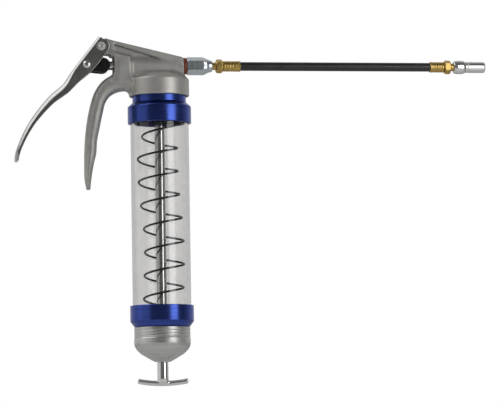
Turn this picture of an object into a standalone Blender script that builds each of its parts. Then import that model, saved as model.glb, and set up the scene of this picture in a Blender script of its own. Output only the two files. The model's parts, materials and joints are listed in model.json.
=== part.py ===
"""Pistol-grip grease gun with a clear barrel, a rod-drawn follower and a flexible hose.

The barrel stands on the Z axis with the middle of its visible tube at the origin. The hose leaves
the head along +X, the squeeze lever is on the -X side, and every size below is in millimetres.
"""

import math

import bmesh
import bpy
from mathutils import Matrix

MM = 0.001
GAP = 0.3

# Barrel
TUBE_R, TUBE_BORE = 31.25, 27.5
TUBE_SHOWN_TOP, TUBE_SHOWN_LOW = 97.4, -97.6
COLLAR_R = 34.0
COLLAR_BORE = TUBE_R + GAP
TOP_COLLAR = {
    "edge": 115.3, "slope_r": 28.75, "slope_z": 120.0, "neck_r": 28.75, "bore": 27.2, "end": 140.8,
}
LOW_COLLAR = {
    "edge": 114.5, "slope_r": 29.5, "slope_z": 120.4, "neck_r": 27.9, "bore": 26.4, "end": 132.9,
}
SEAL_THICK = 1.6

# Head
PUMP_Z = 159.9
SKIRT_R, SKIRT_LOW, SKIRT_TOP = 32.3, 126.7, 146.0
HEAD_CEILING = 143.5
HEAD_REAR, HEAD_FRONT = -49.0, 25.0
EAR_HALF = 9.2
BLOCK_HALF = 12.0
GRIP_HALF = 10.0
WEB_HALF = 3.5
CHAMBER_R, CHAMBER_END = 7.4, -8.7
OUTLET_R, OUTLET_START = 5.6, 5.5

# Lever, link and plunger: pivots as (X, Z)
PIVOT_A = (-63.0, 179.6)
PIVOT_B = (-78.4, 159.8)
PIVOT_C = (-61.0, PUMP_Z)
LEVER_HALF, LEVER_WALL = 12.0, 2.0
PLUNGER_R, PLUNGER_FRONT = 4.75, -4.0
LINK_NOSE, LINK_TAIL = 8.0, 6.0

# End cap, rod and follower
ROD_R = 5.4
CAP_R, CAP_TOP, CAP_NOSE = 29.9, -120.7, -157.6
SPRING_R, SPRING_WIRE, SPRING_PITCH = 21.1, 1.0, 24.9
SPRING_LOW, SPRING_TOP = -144.3, 128.4
HANDLE_HALF, HANDLE_BAR_R, HANDLE_RISE, HANDLE_Z = 27.0, 2.85, 2.6, -180.5

# Hose line along X
HOSE_R, FERRULE_R = 4.75, 5.8
HOSE_START, HOSE_END = 69.4, 313.2
COUPLER_START, COUPLER_STEP, COUPLER_END = 323.6, 336.1, 358.4

TURNED = 32
SMALL = 20

FINISHES = {
    "cast": ((0.19, 0.19, 0.175, 1), 0.5, 0.9),
    "zinc": ((0.45, 0.45, 0.43, 1), 0.3, 1.0),
    "black_steel": ((0.012, 0.012, 0.013, 1), 0.35, 0.8),
    "blue": ((0.02, 0.03, 0.32, 1), 0.25, 1.0),
    "clear": ((0.9, 0.92, 0.92, 0.3), 0.05, 0.0),
    "satin": ((0.5, 0.5, 0.49, 1), 0.35, 1.0),
    "chrome": ((0.75, 0.75, 0.75, 1), 0.1, 1.0),
    "brass": ((0.6, 0.42, 0.14, 1), 0.25, 1.0),
    "copper": ((0.35, 0.1, 0.06, 1), 0.4, 0.6),
    "rubber": ((0.012, 0.012, 0.012, 1), 0.6, 0.0),
}


def clear_scene():
    for obj in list(bpy.data.objects):
        bpy.data.objects.remove(obj, do_unlink=True)


def new_collection(name):
    collection = bpy.data.collections.new(name)
    bpy.context.scene.collection.children.link(collection)
    return collection


def finish_of(node, finish):
    colour, roughness, metallic = FINISHES[finish]
    material = bpy.data.materials.new(f"{node}_{finish}")
    material.use_nodes = True
    shader = material.node_tree.nodes["Principled BSDF"]
    shader.inputs["Base Color"].default_value = colour
    shader.inputs["Roughness"].default_value = roughness
    shader.inputs["Metallic"].default_value = metallic
    return material


def add_object(name, data, finish=None):
    """Adds a part when it has a finish, and otherwise a hidden cutter or helper."""
    obj = bpy.data.objects.new(name, data)
    if finish:
        PARTS.objects.link(obj)
        data.materials.append(finish_of(name, finish))
    else:
        CUTTERS.objects.link(obj)
        obj.hide_render = True
        obj.display_type = "WIRE"
    return obj


def lay_along_x(obj):
    """Turns a piece whose axis is local Z so that it runs along +X on the pump's axis."""
    obj.rotation_euler = (0, math.pi / 2, 0)
    obj.location = (0, 0, PUMP_Z * MM)
    return obj


def stand_along_y(obj, pivot):
    """Turns a piece whose axis is local Z so that it runs along -Y through a pivot (X, Z)."""
    obj.rotation_euler = (math.pi / 2, 0, 0)
    obj.location = (pivot[0] * MM, 0, pivot[1] * MM)
    return obj


def turned(name, profile, finish=None, sides=TURNED, closed=False):
    """A turned solid. The profile holds (radius, height) from the top of its outer side downwards."""
    mesh = bpy.data.meshes.new(name)
    points = [(r * MM, 0, z * MM) for r, z in profile]
    edges = [(i, i + 1) for i in range(len(points) - 1)]
    if closed:
        edges.append((len(points) - 1, 0))
    mesh.from_pydata(points, edges, [])
    obj = add_object(name, mesh, finish)
    screw = obj.modifiers.new("turn", "SCREW")
    screw.axis = "Z"
    screw.angle = 2 * math.pi
    screw.steps = screw.render_steps = sides
    screw.use_merge_vertices = True
    screw.merge_threshold = 0.00001
    screw.use_smooth_shade = True
    return obj


def ring(name, outer, inner, low, high, finish=None, sides=TURNED):
    """A plain tube or washer."""
    profile = [(outer, high), (outer, low), (inner, low), (inner, high)]
    return turned(name, profile, finish, sides, closed=True)


def rod(name, radius, low, high, finish=None, sides=TURNED):
    """A plain solid cylinder along local Z."""
    return turned(name, [(0, high), (radius, high), (radius, low), (0, low)], finish, sides)


def hex_nut(name, corner_r, bore_r, low, high, finish):
    """A plain nut with a round bore."""
    nut = rod(name, corner_r, low, high, finish, 6)
    bore = rod(f"{name}_bore", bore_r, low - 1, high + 1, sides=18)
    bore.parent = nut
    cut(nut, bore)
    return nut


def block(name, low, high, finish=None):
    """A box between two corners."""
    mesh = bpy.data.meshes.new(name)
    shape = bmesh.new()
    bmesh.ops.create_cube(shape, size=1)
    for vertex in shape.verts:
        vertex.co = [MM * (a + (b - a) * (c + 0.5)) for a, b, c in zip(low, high, vertex.co)]
    shape.to_mesh(mesh)
    shape.free()
    return add_object(name, mesh, finish)


def as_mesh(curve_object, finish):
    """The curve's solid as a mesh object whose caps are welded, in the curve's place."""
    bpy.context.view_layer.update()
    graph = bpy.context.evaluated_depsgraph_get()
    mesh = bpy.data.meshes.new_from_object(curve_object.evaluated_get(graph))
    shape = bmesh.new()
    shape.from_mesh(mesh)
    bmesh.ops.remove_doubles(shape, verts=shape.verts, dist=0.00001)
    bmesh.ops.recalc_face_normals(shape, faces=shape.faces)
    shape.to_mesh(mesh)
    shape.free()
    mesh.materials.clear()
    name, place = curve_object.name, curve_object.matrix_world.copy()
    bpy.data.objects.remove(curve_object, do_unlink=True)
    obj = add_object(name, mesh, finish)
    obj.matrix_world = place
    return obj


def side_plate(name, outline, half, finish=None, y=0.0):
    """A plate of the outline (X, Z), as thick as twice half, with its middle at y."""
    curve = bpy.data.curves.new(name, "CURVE")
    curve.dimensions = "2D"
    curve.fill_mode = "BOTH"
    curve.extrude = half * MM
    spline = curve.splines.new("POLY")
    spline.points.add(len(outline) - 1)
    for point, (x, z) in zip(spline.points, outline):
        point.co = (x * MM, z * MM, 0, 1)
    spline.use_cyclic_u = True
    obj = add_object(name, curve)
    obj.rotation_euler = (math.pi / 2, 0, 0)
    obj.location = (0, y * MM, 0)
    return as_mesh(obj, finish)


def wire(name, points, radius, finish=None, resolution=2):
    """A round wire or bar through the points, as a POLY curve with filled caps."""
    curve = bpy.data.curves.new(name, "CURVE")
    curve.dimensions = "3D"
    curve.bevel_depth = radius * MM
    curve.bevel_resolution = resolution
    curve.use_fill_caps = True
    spline = curve.splines.new("POLY")
    spline.points.add(len(points) - 1)
    for point, place in zip(spline.points, points):
        point.co = (*[value * MM for value in place], 1)
    return add_object(name, curve, finish)


def combine(obj, other, operation):
    """Adds a Boolean of the other object to this one."""
    modifier = obj.modifiers.new(f"{operation.lower()}_{other.name}", "BOOLEAN")
    modifier.operation = operation
    modifier.solver = "EXACT"
    modifier.object = other


def cut(obj, *cutters):
    for cutter in cutters:
        combine(obj, cutter, "DIFFERENCE")


def join(obj, *others):
    for other in others:
        combine(obj, other, "UNION")


def arc(centre, radius, start, end, steps):
    """Points of an arc, with its angles in degrees counted from +X towards +Z."""
    angles = [math.radians(start + (end - start) * i / steps) for i in range(steps + 1)]
    return [(centre[0] + radius * math.cos(a), centre[1] + radius * math.sin(a)) for a in angles]


def beside(line, distances):
    """The line moved to the left of its direction by the distance given for each of its points."""
    moved = []
    for i, (x, z) in enumerate(line):
        before, after = line[max(i - 1, 0)], line[min(i + 1, len(line) - 1)]
        dx, dz = after[0] - before[0], after[1] - before[1]
        length = math.hypot(dx, dz)
        moved.append((x - dz / length * distances[i], z + dx / length * distances[i]))
    return moved


def coil(radius, low, high, pitch, steps, phase=0.0, closed_turns=1.0, closed_pitch=2.6):
    """Points of a right-handed compression spring along Z whose end turns lie close together."""
    inner_low = low + closed_turns * closed_pitch
    inner_high = high - closed_turns * closed_pitch
    turns = (inner_high - inner_low) / pitch
    total = turns + 2 * closed_turns
    count = round(total * steps)
    points = []
    for i in range(count + 1):
        turn = total * i / count
        if turn < closed_turns:
            z = low + turn * closed_pitch
        elif turn > closed_turns + turns:
            z = high - (total - turn) * closed_pitch
        else:
            z = inner_low + (turn - closed_turns) * pitch
        angle = phase + 2 * math.pi * turn
        points.append((radius * math.cos(angle), radius * math.sin(angle), z))
    return points


# ---------------------------------------------------------------- barrel


def collar(name, sizes, foot, sign):
    """A collar that holds one end of the tube. Its threaded neck goes into the head or the cap."""
    shoulder = sizes["edge"] - 1.4
    profile = [
        (sizes["neck_r"], sizes["end"]),
        (sizes["neck_r"], sizes["slope_z"]),
        (sizes["slope_r"] + 0.01, sizes["slope_z"]),
        (COLLAR_R, sizes["edge"]),
        (COLLAR_R, foot),
        (COLLAR_BORE, foot),
        (COLLAR_BORE, shoulder),
        (sizes["bore"], shoulder),
        (sizes["bore"], sizes["end"]),
    ]
    obj = turned(name, profile, "blue", closed=True)
    if sign < 0:
        obj.rotation_euler = (math.pi, 0, 0)
    return shoulder * sign


def build_barrel():
    top = collar("top_collar", TOP_COLLAR, TUBE_SHOWN_TOP, 1)
    low = collar("bottom_collar", LOW_COLLAR, -TUBE_SHOWN_LOW, -1)
    seal_inner = TUBE_BORE
    top_seal, low_seal = top - GAP, low + GAP
    ring("top_tube_seal", TUBE_R, seal_inner, top_seal - SEAL_THICK, top_seal, "rubber")
    ring("bottom_tube_seal", TUBE_R, seal_inner, low_seal, low_seal + SEAL_THICK, "rubber")
    tube_low = low_seal + SEAL_THICK + GAP
    tube_top = top_seal - SEAL_THICK - GAP
    ring("barrel_tube", TUBE_R, TUBE_BORE, tube_low, tube_top, "clear")
    ring("head_gasket", 28.6, 27.3, TOP_COLLAR["end"] + GAP, HEAD_CEILING - GAP, "rubber")


# ---------------------------------------------------------------- head


def head_skirt():
    profile = [
        (0, 152.0),
        (22.0, 151.5),
        (27.5, 148.8),
        (30.5, SKIRT_TOP + 0.5),
        (SKIRT_R, SKIRT_TOP - 1),
        (SKIRT_R, SKIRT_LOW),
        (0, SKIRT_LOW),
    ]
    return turned("head_casting", profile, "cast")


def head_grip():
    """The fixed grip: a bevelled bar that runs out of the rear block, bends down and thins."""
    outer = [(-47.0, 150.0), (-52.6, 148.5), (-62.0, 142.2), (-69.3, 131.8), (-74.2, 117.5)]
    outer += [(-77.6, 102.1), (-80.4, 80.0), (-81.4, 55.0), (-80.9, 35.0), (-79.2, 26.5)]
    inner = [(-75.4, 26.5), (-73.8, 40.0), (-71.5, 53.0), (-68.4, 66.0), (-67.6, 78.0)]
    inner += [(-64.5, 93.0), (-61.0, 109.0), (-58.2, 119.5), (-53.0, 126.8), (-45.0, 131.2)]
    inner += [(-30.0, 133.0), (-30.0, 150.0)]
    grip = side_plate("grip_bar", outer + inner, GRIP_HALF)
    bevel = grip.modifiers.new("rounding", "BEVEL")
    bevel.width = 3.2 * MM
    bevel.segments = 1
    bevel.limit_method = "ANGLE"
    bevel.angle_limit = math.radians(50)
    return grip


def head_arm():
    """The ribbed arm over the pump: a sloping top flange on a thin web, with an ear at its rear."""
    flange = [(-58.0, 188.2), (24.8, 168.7), (24.8, 164.1), (-50.0, 182.6), (-58.0, 184.0)]
    web = [(-50.0, 184.5), (14.0, 168.0), (14.0, 160.0), (-47.0, 160.0)]
    ear = arc(PIVOT_A, 6.0, 95, 262, 10) + [(-58.0, 171.6), (-44.0, 171.2), (-44.0, 183.0), (-58.0, 188.2)]
    return [
        side_plate("arm_flange", flange, EAR_HALF),
        side_plate("arm_web", web, WEB_HALF),
        side_plate("arm_ear", ear, EAR_HALF),
    ]


def head_cutters():
    bore_r, bore_end = PLUNGER_R + GAP, HEAD_FRONT + 5
    stepped = [(0, bore_end), (OUTLET_R, bore_end), (OUTLET_R, OUTLET_START), (bore_r, OUTLET_START)]
    stepped += [(bore_r, CHAMBER_END), (CHAMBER_R, CHAMBER_END), (CHAMBER_R, -44.0), (0, -44.0)]
    return [
        rod("skirt_bore", 29.05, SKIRT_LOW - 2, HEAD_CEILING),
        lay_along_x(turned("pump_bore", stepped, sides=SMALL)),
        rod("grease_port", 2.5, HEAD_CEILING - 1, PUMP_Z, sides=12),
        block("link_pocket", (HEAD_REAR - 6, -9.6, PUMP_Z - 9.2), (-43.0, 9.6, PUMP_Z + 9.2)),
        stand_along_y(rod("ear_bore", 3.3, -20, 20, sides=SMALL), PIVOT_A),
    ]


def build_head():
    head = head_skirt()
    boss_profile = [(0, HEAD_FRONT), (9.2, HEAD_FRONT), (10.2, -40.0), (0, -40.0)]
    boss = lay_along_x(turned("pump_boss", boss_profile, sides=24))
    rear = block("rear_block", (HEAD_REAR, -BLOCK_HALF, 141.0), (-32.5, BLOCK_HALF, 171.0))
    post = block("rear_post", (HEAD_REAR - 2.5, -EAR_HALF, 170.0), (-45.0, EAR_HALF, 183.5))
    join(head, boss, rear, post, head_grip(), *head_arm())
    cut(head, *head_cutters())


# ---------------------------------------------------------------- lever, link and plunger


def lever_back():
    """The back line of the lever from its top to its tip, and its depth at each of those points."""
    line = [(-64.4, 191.7), (-80.2, 171.5), (-93.7, 153.8), (-103.1, 139.2), (-117.0, 126.7)]
    line += [(-129.5, 112.2), (-140.2, 96.7), (-148.7, 80.0), (-154.4, 63.4), (-155.0, 57.5)]
    depth = [15.3, 15.3, 13.5, 9.2, 7.6, 6.4, 5.2, 4.2, 3.4, 3.0]
    return line, depth


def build_lever():
    """A pressed U-channel that is deep at its pivots and shallow along the handle."""
    line, depth = lever_back()
    inner = beside(line, depth)[1:]
    outline = line[::-1] + [(-62.6, 190.6)] + arc(PIVOT_A, 8.7, 88, -38, 8) + inner
    lever = side_plate("lever_handle", outline, LEVER_HALF, "zinc")
    top_x, top_z = line[0]
    longer = [(top_x + 7.3, top_z + 9.4)] + line[:-1]
    far = beside(longer, [30.0] + [d + 9.0 for d in depth[:-1]])
    hollow = beside(longer, [LEVER_WALL] * len(longer)) + far[::-1]
    cut(
        lever,
        side_plate("lever_hollow", hollow, LEVER_HALF - LEVER_WALL),
        stand_along_y(rod("lever_hole_a", 3.3, -18, 18, sides=18), PIVOT_A),
        stand_along_y(rod("lever_hole_b", 2.8, -18, 18, sides=18), PIVOT_B),
    )


def build_pivots():
    face = LEVER_HALF + GAP
    screw_profile = [(0, 13.0), (1.7, 13.0), (1.7, 15.0), (2.6, 15.0), (3.9, 14.4), (4.6, 13.6)]
    screw_profile += [(4.8, face), (3.0, face), (3.0, -16.2), (0, -16.2)]
    stand_along_y(turned("lever_pivot_screw", screw_profile, "chrome", SMALL), PIVOT_A)
    stand_along_y(hex_nut("lever_pivot_nut", 4.9, 3.3, -face - 3.2, -face, "chrome"), PIVOT_A)
    dome = [(0, 14.7), (2.2, 14.3), (3.7, 13.4), (4.4, face), (2.5, face)]
    rivet = dome + [(r, -z) for r, z in dome[::-1]]
    stand_along_y(turned("link_rivet", rivet, "chrome", SMALL), PIVOT_B)
    head = [(0, 9.4), (3.0, 9.4), (3.0, 8.4), (2.0, 8.4)]
    pin = head + [(r, -z) for r, z in head[::-1]]
    stand_along_y(turned("plunger_pin", pin, "black_steel", 16), PIVOT_C)


def build_links():
    """Two black side plates that join the lever to the plunger."""
    outline = arc(PIVOT_C, LINK_NOSE, -96.6, 96.6, 12) + arc(PIVOT_B, LINK_TAIL, 96.6, 263.4, 10)
    for side, name in ((-1, "toggle_link_left"), (1, "toggle_link_right")):
        plate = side_plate(name, outline, 1.5, "black_steel", 6.6 * side)
        cut(
            plate,
            stand_along_y(rod(f"{name}_hole_b", 2.8, -12, 12, sides=16), PIVOT_B),
            stand_along_y(rod(f"{name}_hole_c", 2.9, -12, 12, sides=16), PIVOT_C),
        )


def build_plunger():
    eye_end = PIVOT_C[0] - 5.0
    profile = [(0, PLUNGER_FRONT), (PLUNGER_R - 0.6, PLUNGER_FRONT), (PLUNGER_R, PLUNGER_FRONT - 0.8)]
    profile += [(PLUNGER_R, -33.5), (7.0, -33.5), (7.0, -35.5), (PLUNGER_R, -35.5)]
    profile += [(PLUNGER_R, eye_end + 1), (PLUNGER_R - 1, eye_end), (0, eye_end)]
    plunger = lay_along_x(turned("plunger", profile, "chrome", SMALL))
    cut(plunger, stand_along_y(rod("plunger_eye", 2.3, -12, 12, sides=16), PIVOT_C))
    bore = PLUNGER_R + GAP
    lay_along_x(ring("plunger_guide", 7.1, bore, -42.7, -36.2, "brass", SMALL))
    lay_along_x(ring("plunger_packing", 7.1, bore, -13.7, -9.0, "rubber", SMALL))
    points = coil(6.3, -32.6, -14.6, 3.6, 10, closed_turns=0.8, closed_pitch=1.5)
    lay_along_x(wire("plunger_return_spring", points, 0.5, "chrome", 1))


# ---------------------------------------------------------------- outlet and hose line


def build_outlet():
    seat = [(5.3, 8.8), (5.3, 5.8), (2.0, 5.8), (2.0, 8.8)]
    lay_along_x(turned("check_valve_seat", seat, "brass", SMALL, closed=True))
    ball = [(3.0 * math.sin(a), 11.4 + 3.0 * math.cos(a)) for a in [math.pi * i / 8 for i in range(9)]]
    ball[0], ball[-1] = (0, 14.4), (0, 8.4)
    lay_along_x(turned("check_valve_ball", ball, "chrome", 16))
    points = coil(2.6, 15.2, 20.2, 1.6, 8, closed_turns=0.5, closed_pitch=0.9)
    lay_along_x(wire("check_valve_spring", points, 0.3, "chrome", 1))
    lay_along_x(ring("outlet_washer", 9.0, 5.7, HEAD_FRONT + GAP, 29.7, "copper", SMALL))
    build_adaptor()


def build_adaptor():
    """The zinc adaptor: a hexagon with a tapered nose, a threaded spigot and a bore right through."""
    spigot = [(4.4, 57.9), (6.25, 57.9), (6.4, 51.2), (7.2, 48.5), (7.2, 30.0), (5.3, 30.0)]
    spigot += [(5.3, 20.8)]
    bore = [(2.0, 20.8), (2.0, 53.5), (4.4, 53.5)]
    adaptor = lay_along_x(turned("hose_adaptor", spigot + bore, "zinc", 24, closed=True))
    hexagon = [(9.8, 46.6), (9.8, 31.0), (9.2, 30.0), (6.0, 30.0), (6.0, 50.0), (7.2, 50.0)]
    join(adaptor, lay_along_x(turned("adaptor_hexagon", hexagon, sides=6, closed=True)))


def brass_fitting(name, neck, hexagon):
    """A brass hose end: a round neck, a rounded hexagon and a bore, along X."""
    low, high = min(neck[0], hexagon[0]), max(neck[1], hexagon[1])
    body = ring(name, 4.1, 1.6, low, high, "brass", SMALL)
    first, last = hexagon
    profile = [(6.6, last), (7.55, last - 0.9), (7.55, first + 0.9), (6.6, first)]
    profile += [(3.0, first), (3.0, last)]
    nut = lay_along_x(turned(f"{name}_hexagon", profile, sides=6, closed=True))
    join(lay_along_x(body), nut)


def build_hose():
    brass_fitting("near_hose_fitting", (53.8, 62.0), (62.0, 68.9))
    brass_fitting("far_hose_fitting", (320.2, 326.0), (313.5, 320.2))
    inner = HOSE_R + GAP
    lay_along_x(ring("near_ferrule", FERRULE_R, inner, 69.2, 88.4, "brass", SMALL))
    lay_along_x(ring("far_ferrule", FERRULE_R, inner, 297.3, 313.2, "brass", SMALL))
    steps = round((HOSE_END - HOSE_START) / (2.5 * 2 * HOSE_R))
    span = HOSE_END - HOSE_START
    points = [(HOSE_START + span * i / steps, 0, PUMP_Z) for i in range(steps + 1)]
    wire("hose", points, HOSE_R, "rubber", 4)


def build_coupler():
    """The nipple coupler: a body and a sleeve round three spring-pushed jaws and a seal."""
    body = [(7.0, COUPLER_STEP), (7.4, COUPLER_STEP - 1.2), (7.4, COUPLER_START + 1.2)]
    body += [(6.6, COUPLER_START), (4.4, COUPLER_START), (4.4, 327.0), (1.6, 327.0)]
    body += [(1.6, COUPLER_STEP)]
    lay_along_x(turned("coupler_body", body, "chrome", 24, closed=True))
    sleeve = [(5.4, COUPLER_END), (6.0, COUPLER_END - 1.0), (6.0, COUPLER_STEP + GAP)]
    sleeve += [(4.7, COUPLER_STEP + GAP), (4.7, COUPLER_END)]
    lay_along_x(turned("coupler_sleeve", sleeve, "chrome", 24, closed=True))
    points = coil(3.6, 337.2, 341.0, 1.3, 8, closed_turns=0.5, closed_pitch=0.9)
    lay_along_x(wire("coupler_spring", points, 0.3, "chrome", 1))
    lay_along_x(ring("coupler_seal", 4.2, 1.6, 341.8, 344.4, "rubber", SMALL))
    for index in range(3):
        build_jaw(index)


def build_jaw(index):
    """One of three jaws: a third of a ring, as a turned arc that leaves a slot on each side."""
    obj = turned(f"coupler_jaw_{index + 1}", [(4.4, 357.9), (4.4, 346.9), (3.25, 346.9), (3.25, 357.9)],
                 "chrome", 8, closed=True)
    obj.modifiers["turn"].angle = math.radians(98)
    mesh_with_ends(obj)
    obj.data.transform(Matrix.Rotation(math.radians(120 * index + 41), 4, "Z"))
    lay_along_x(obj)


def mesh_with_ends(obj):
    """Applies the part turn and closes its two flat ends."""
    bpy.context.view_layer.update()
    graph = bpy.context.evaluated_depsgraph_get()
    mesh = bpy.data.meshes.new_from_object(obj.evaluated_get(graph))
    shape = bmesh.new()
    shape.from_mesh(mesh)
    bmesh.ops.holes_fill(shape, edges=[e for e in shape.edges if e.is_boundary], sides=0)
    bmesh.ops.recalc_face_normals(shape, faces=shape.faces)
    shape.to_mesh(mesh)
    shape.free()
    obj.modifiers.clear()
    obj.data = mesh


# ---------------------------------------------------------------- end cap, rod and follower


def build_cap():
    outer = [(CAP_R, CAP_TOP), (CAP_R, -131.2), (29.4, -131.6), (30.2, -132.7), (30.2, -138.5)]
    outer += [(29.5, -141.0), (27.3, -144.5), (23.0, -149.0), (15.0, -153.8), (9.5, -157.0)]
    outer += [(8.2, CAP_NOSE)]
    inner = [(5.8, CAP_NOSE), (5.8, -153.0), (8.3, -153.0), (8.3, -149.2), (15.0, -149.6)]
    inner += [(22.0, -146.2), (25.2, -141.5), (26.2, -136.5), (26.4, -133.2), (28.2, -133.2)]
    inner += [(28.2, CAP_TOP)]
    cap = turned("end_cap", outer + inner, "satin", closed=True)
    cut(cap, block("lock_slot", (4.0, -1.6, CAP_NOSE - 2), (9.4, 1.6, -153.6)))
    ring("rod_bush", 8.0, 5.7, -152.7, -144.0, "brass", 24)


def build_rod():
    profile = [(0, 140.4), (3.6, 140.4), (3.9, 139.8), (3.9, 129.7), (ROD_R, 129.7)]
    profile += [(ROD_R, -159.0), (3.5, -159.0), (3.5, -172.2), (0, -172.2)]
    turned("follower_rod", profile, "chrome", 20)
    cup = [(26.9, 141.5), (26.9, 124.0), (25.2, 124.0), (24.4, 130.0), (4.2, 130.0), (4.2, 133.2)]
    cup += [(23.6, 133.2), (25.4, 141.5)]
    turned("follower_cup", cup, "rubber", closed=True)
    ring("follower_washer", 14.0, 4.2, 133.5, 135.3, "satin", 24)
    hex_nut("follower_nut", 7.5, 4.2, 135.6, 140.2, "chrome")
    build_handle()
    phase = math.pi - 2 * math.pi * ((9.4 - SPRING_LOW - 2.6) / SPRING_PITCH + 1)
    points = coil(SPRING_R, SPRING_LOW, SPRING_TOP, SPRING_PITCH, 12, phase)
    wire("follower_spring", points, SPRING_WIRE, "black_steel", 1)


def build_handle():
    """The T-handle: a stem over the rod's end, and a crossbar whose ends rise towards the cap."""
    stem = [(0, -172.6), (3.8, -172.6), (3.8, -159.3), (5.7, -159.3), (5.7, -157.9)]
    stem += [(6.0, -157.9), (6.0, -176.0), (5.0, HANDLE_Z), (0, HANDLE_Z)]
    handle = turned("t_handle", stem, "chrome", 20)
    radius = (HANDLE_HALF**2 + HANDLE_RISE**2) / (2 * HANDLE_RISE)
    reach = math.asin(HANDLE_HALF / radius)
    angles = [reach * (i / 6 - 1) for i in range(13)]
    points = [(radius * math.sin(a), 0, HANDLE_Z + radius * (1 - math.cos(a))) for a in angles]
    bar = as_mesh(wire("handle_bar", points, HANDLE_BAR_R, None, 2), None)
    join(handle, bar)


clear_scene()
PARTS = new_collection("grease_gun")
CUTTERS = new_collection("cutters")
build_barrel()
build_head()
build_lever()
build_pivots()
build_links()
build_plunger()
build_outlet()
build_hose()
build_coupler()
build_cap()
build_rod()
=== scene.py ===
"""The looks of a pistol-grip grease gun with a clear barrel, a sprung follower and a hose.

The barrel stands on the Z axis, the hose leaves the head along +X and the squeeze lever is on the
-X side. Sizes are in millimetres, and become metres when a surface is put into its mesh.
"""

import json
import logging
import math
from collections.abc import Callable
from dataclasses import dataclass
from enum import Enum
from functools import cache

import bmesh
import bpy
import numpy as np
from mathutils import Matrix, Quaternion, Vector


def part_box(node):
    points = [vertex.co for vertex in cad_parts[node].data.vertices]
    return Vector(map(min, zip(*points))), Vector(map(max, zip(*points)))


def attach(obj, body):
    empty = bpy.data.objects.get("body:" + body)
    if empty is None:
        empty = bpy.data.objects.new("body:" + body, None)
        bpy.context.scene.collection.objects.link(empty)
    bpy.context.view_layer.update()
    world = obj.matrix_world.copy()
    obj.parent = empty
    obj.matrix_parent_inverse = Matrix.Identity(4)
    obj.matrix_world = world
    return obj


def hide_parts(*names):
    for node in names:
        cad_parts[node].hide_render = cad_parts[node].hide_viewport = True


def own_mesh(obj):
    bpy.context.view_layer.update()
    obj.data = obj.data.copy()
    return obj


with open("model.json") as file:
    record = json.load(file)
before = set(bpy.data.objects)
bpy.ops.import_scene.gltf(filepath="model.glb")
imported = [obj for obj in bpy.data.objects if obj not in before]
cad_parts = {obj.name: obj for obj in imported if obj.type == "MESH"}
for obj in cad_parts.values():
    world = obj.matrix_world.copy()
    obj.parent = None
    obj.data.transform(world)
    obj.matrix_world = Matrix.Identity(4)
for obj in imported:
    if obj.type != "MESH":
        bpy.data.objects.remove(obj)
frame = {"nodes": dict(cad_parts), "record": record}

LOG = logging.getLogger("grease_gun")
MM = 0.001
CRISP_ANGLE = 38.0
BEND_STEPS = 5

Array = np.ndarray
Colour = tuple[float, float, float]
Point = tuple[float, float, float]
Span = tuple[float, float]
Corners = list[Span]
Distance = Callable[[Array, Array, Array], Array]
Piece = bpy.types.Object
Tree = bpy.types.NodeTree
Node = bpy.types.Node
Socket = bpy.types.NodeSocket


def middle_of(node: str) -> Point:
    """Gives the middle of a fixed piece's box.

    Args:
        node: the fixed piece's name.

    Returns:
        The middle point in millimetres.
    """
    low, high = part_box(node)
    return tuple((low + high) / 2 / MM)


def joint_place(name: str) -> Span:
    """Gives where a joint's line crosses the middle plane.

    Args:
        name: the joint's name.

    Returns:
        Its X and Z in millimetres.
    """
    joints = frame["record"]["behaviour"]["joints"]
    place = next(joint["pos_m"] for joint in joints if joint["name"] == name)
    return round(place[0] / MM, 3), round(place[2] / MM, 3)


PUMP_Z = middle_of("hose")[2]
LEVER_PIVOT = joint_place("lever_squeeze")
LINK_RIVET = joint_place("link_swing")


class Axis(Enum):
    """The three ways a turned piece lies: two directions across it, then the one along it."""

    UPRIGHT = ((1, 0, 0), (0, 1, 0), (0, 0, 1))
    TO_HOSE = ((0, 1, 0), (0, 0, 1), (1, 0, 0))
    TO_FRONT = ((1, 0, 0), (0, 0, 1), (0, -1, 0))


@dataclass(frozen=True)
class Spindle:
    """The line a piece is turned about.

    Attributes:
        axis: the way the line runs.
        through: a point on the line, from which heights along it are counted.
    """

    axis: Axis
    through: Point = (0.0, 0.0, 0.0)

    def place(self, across: Array, up: Array, along: Array) -> Array:
        """Puts distances across, up and along the line into space.

        Args:
            across: distances in the first direction across the line.
            up: distances in the second direction across the line.
            along: distances along the line.

        Returns:
            The points, with x, y and z in a last dimension.
        """
        first, second, third = (np.array(v, float) for v in self.axis.value)
        across, up, along = (v[..., None] for v in np.broadcast_arrays(across, up, along))
        return np.array(self.through) + across * first + up * second + along * third


BARREL_LINE = Spindle(Axis.UPRIGHT)
PUMP_LINE = Spindle(Axis.TO_HOSE, (0.0, 0.0, PUMP_Z))


def cross_line(at: Span) -> Spindle:
    """Gives the line across the tool through a place in X and Z."""
    return Spindle(Axis.TO_FRONT, (at[0], 0.0, at[1]))


# ---------------------------------------------------------------- surfaces


def grid_faces(rows: int, columns: int, wrap_rows: bool, wrap_columns: bool) -> Array:
    """Joins a grid of points into four-sided faces.

    Args:
        rows: how many rows the grid has.
        columns: how many points each row has.
        wrap_rows: whether the last row joins the first.
        wrap_columns: whether the last point of a row joins its first.

    Returns:
        The point numbers of each face.
    """
    number = np.arange(rows * columns).reshape(rows, columns)
    if wrap_rows:
        number = np.vstack([number, number[:1]])
    if wrap_columns:
        number = np.hstack([number, number[:, :1]])
    corners = number[:-1, :-1], number[:-1, 1:], number[1:, 1:], number[1:, :-1]
    return np.stack([c.ravel() for c in corners], axis=1)


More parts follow.
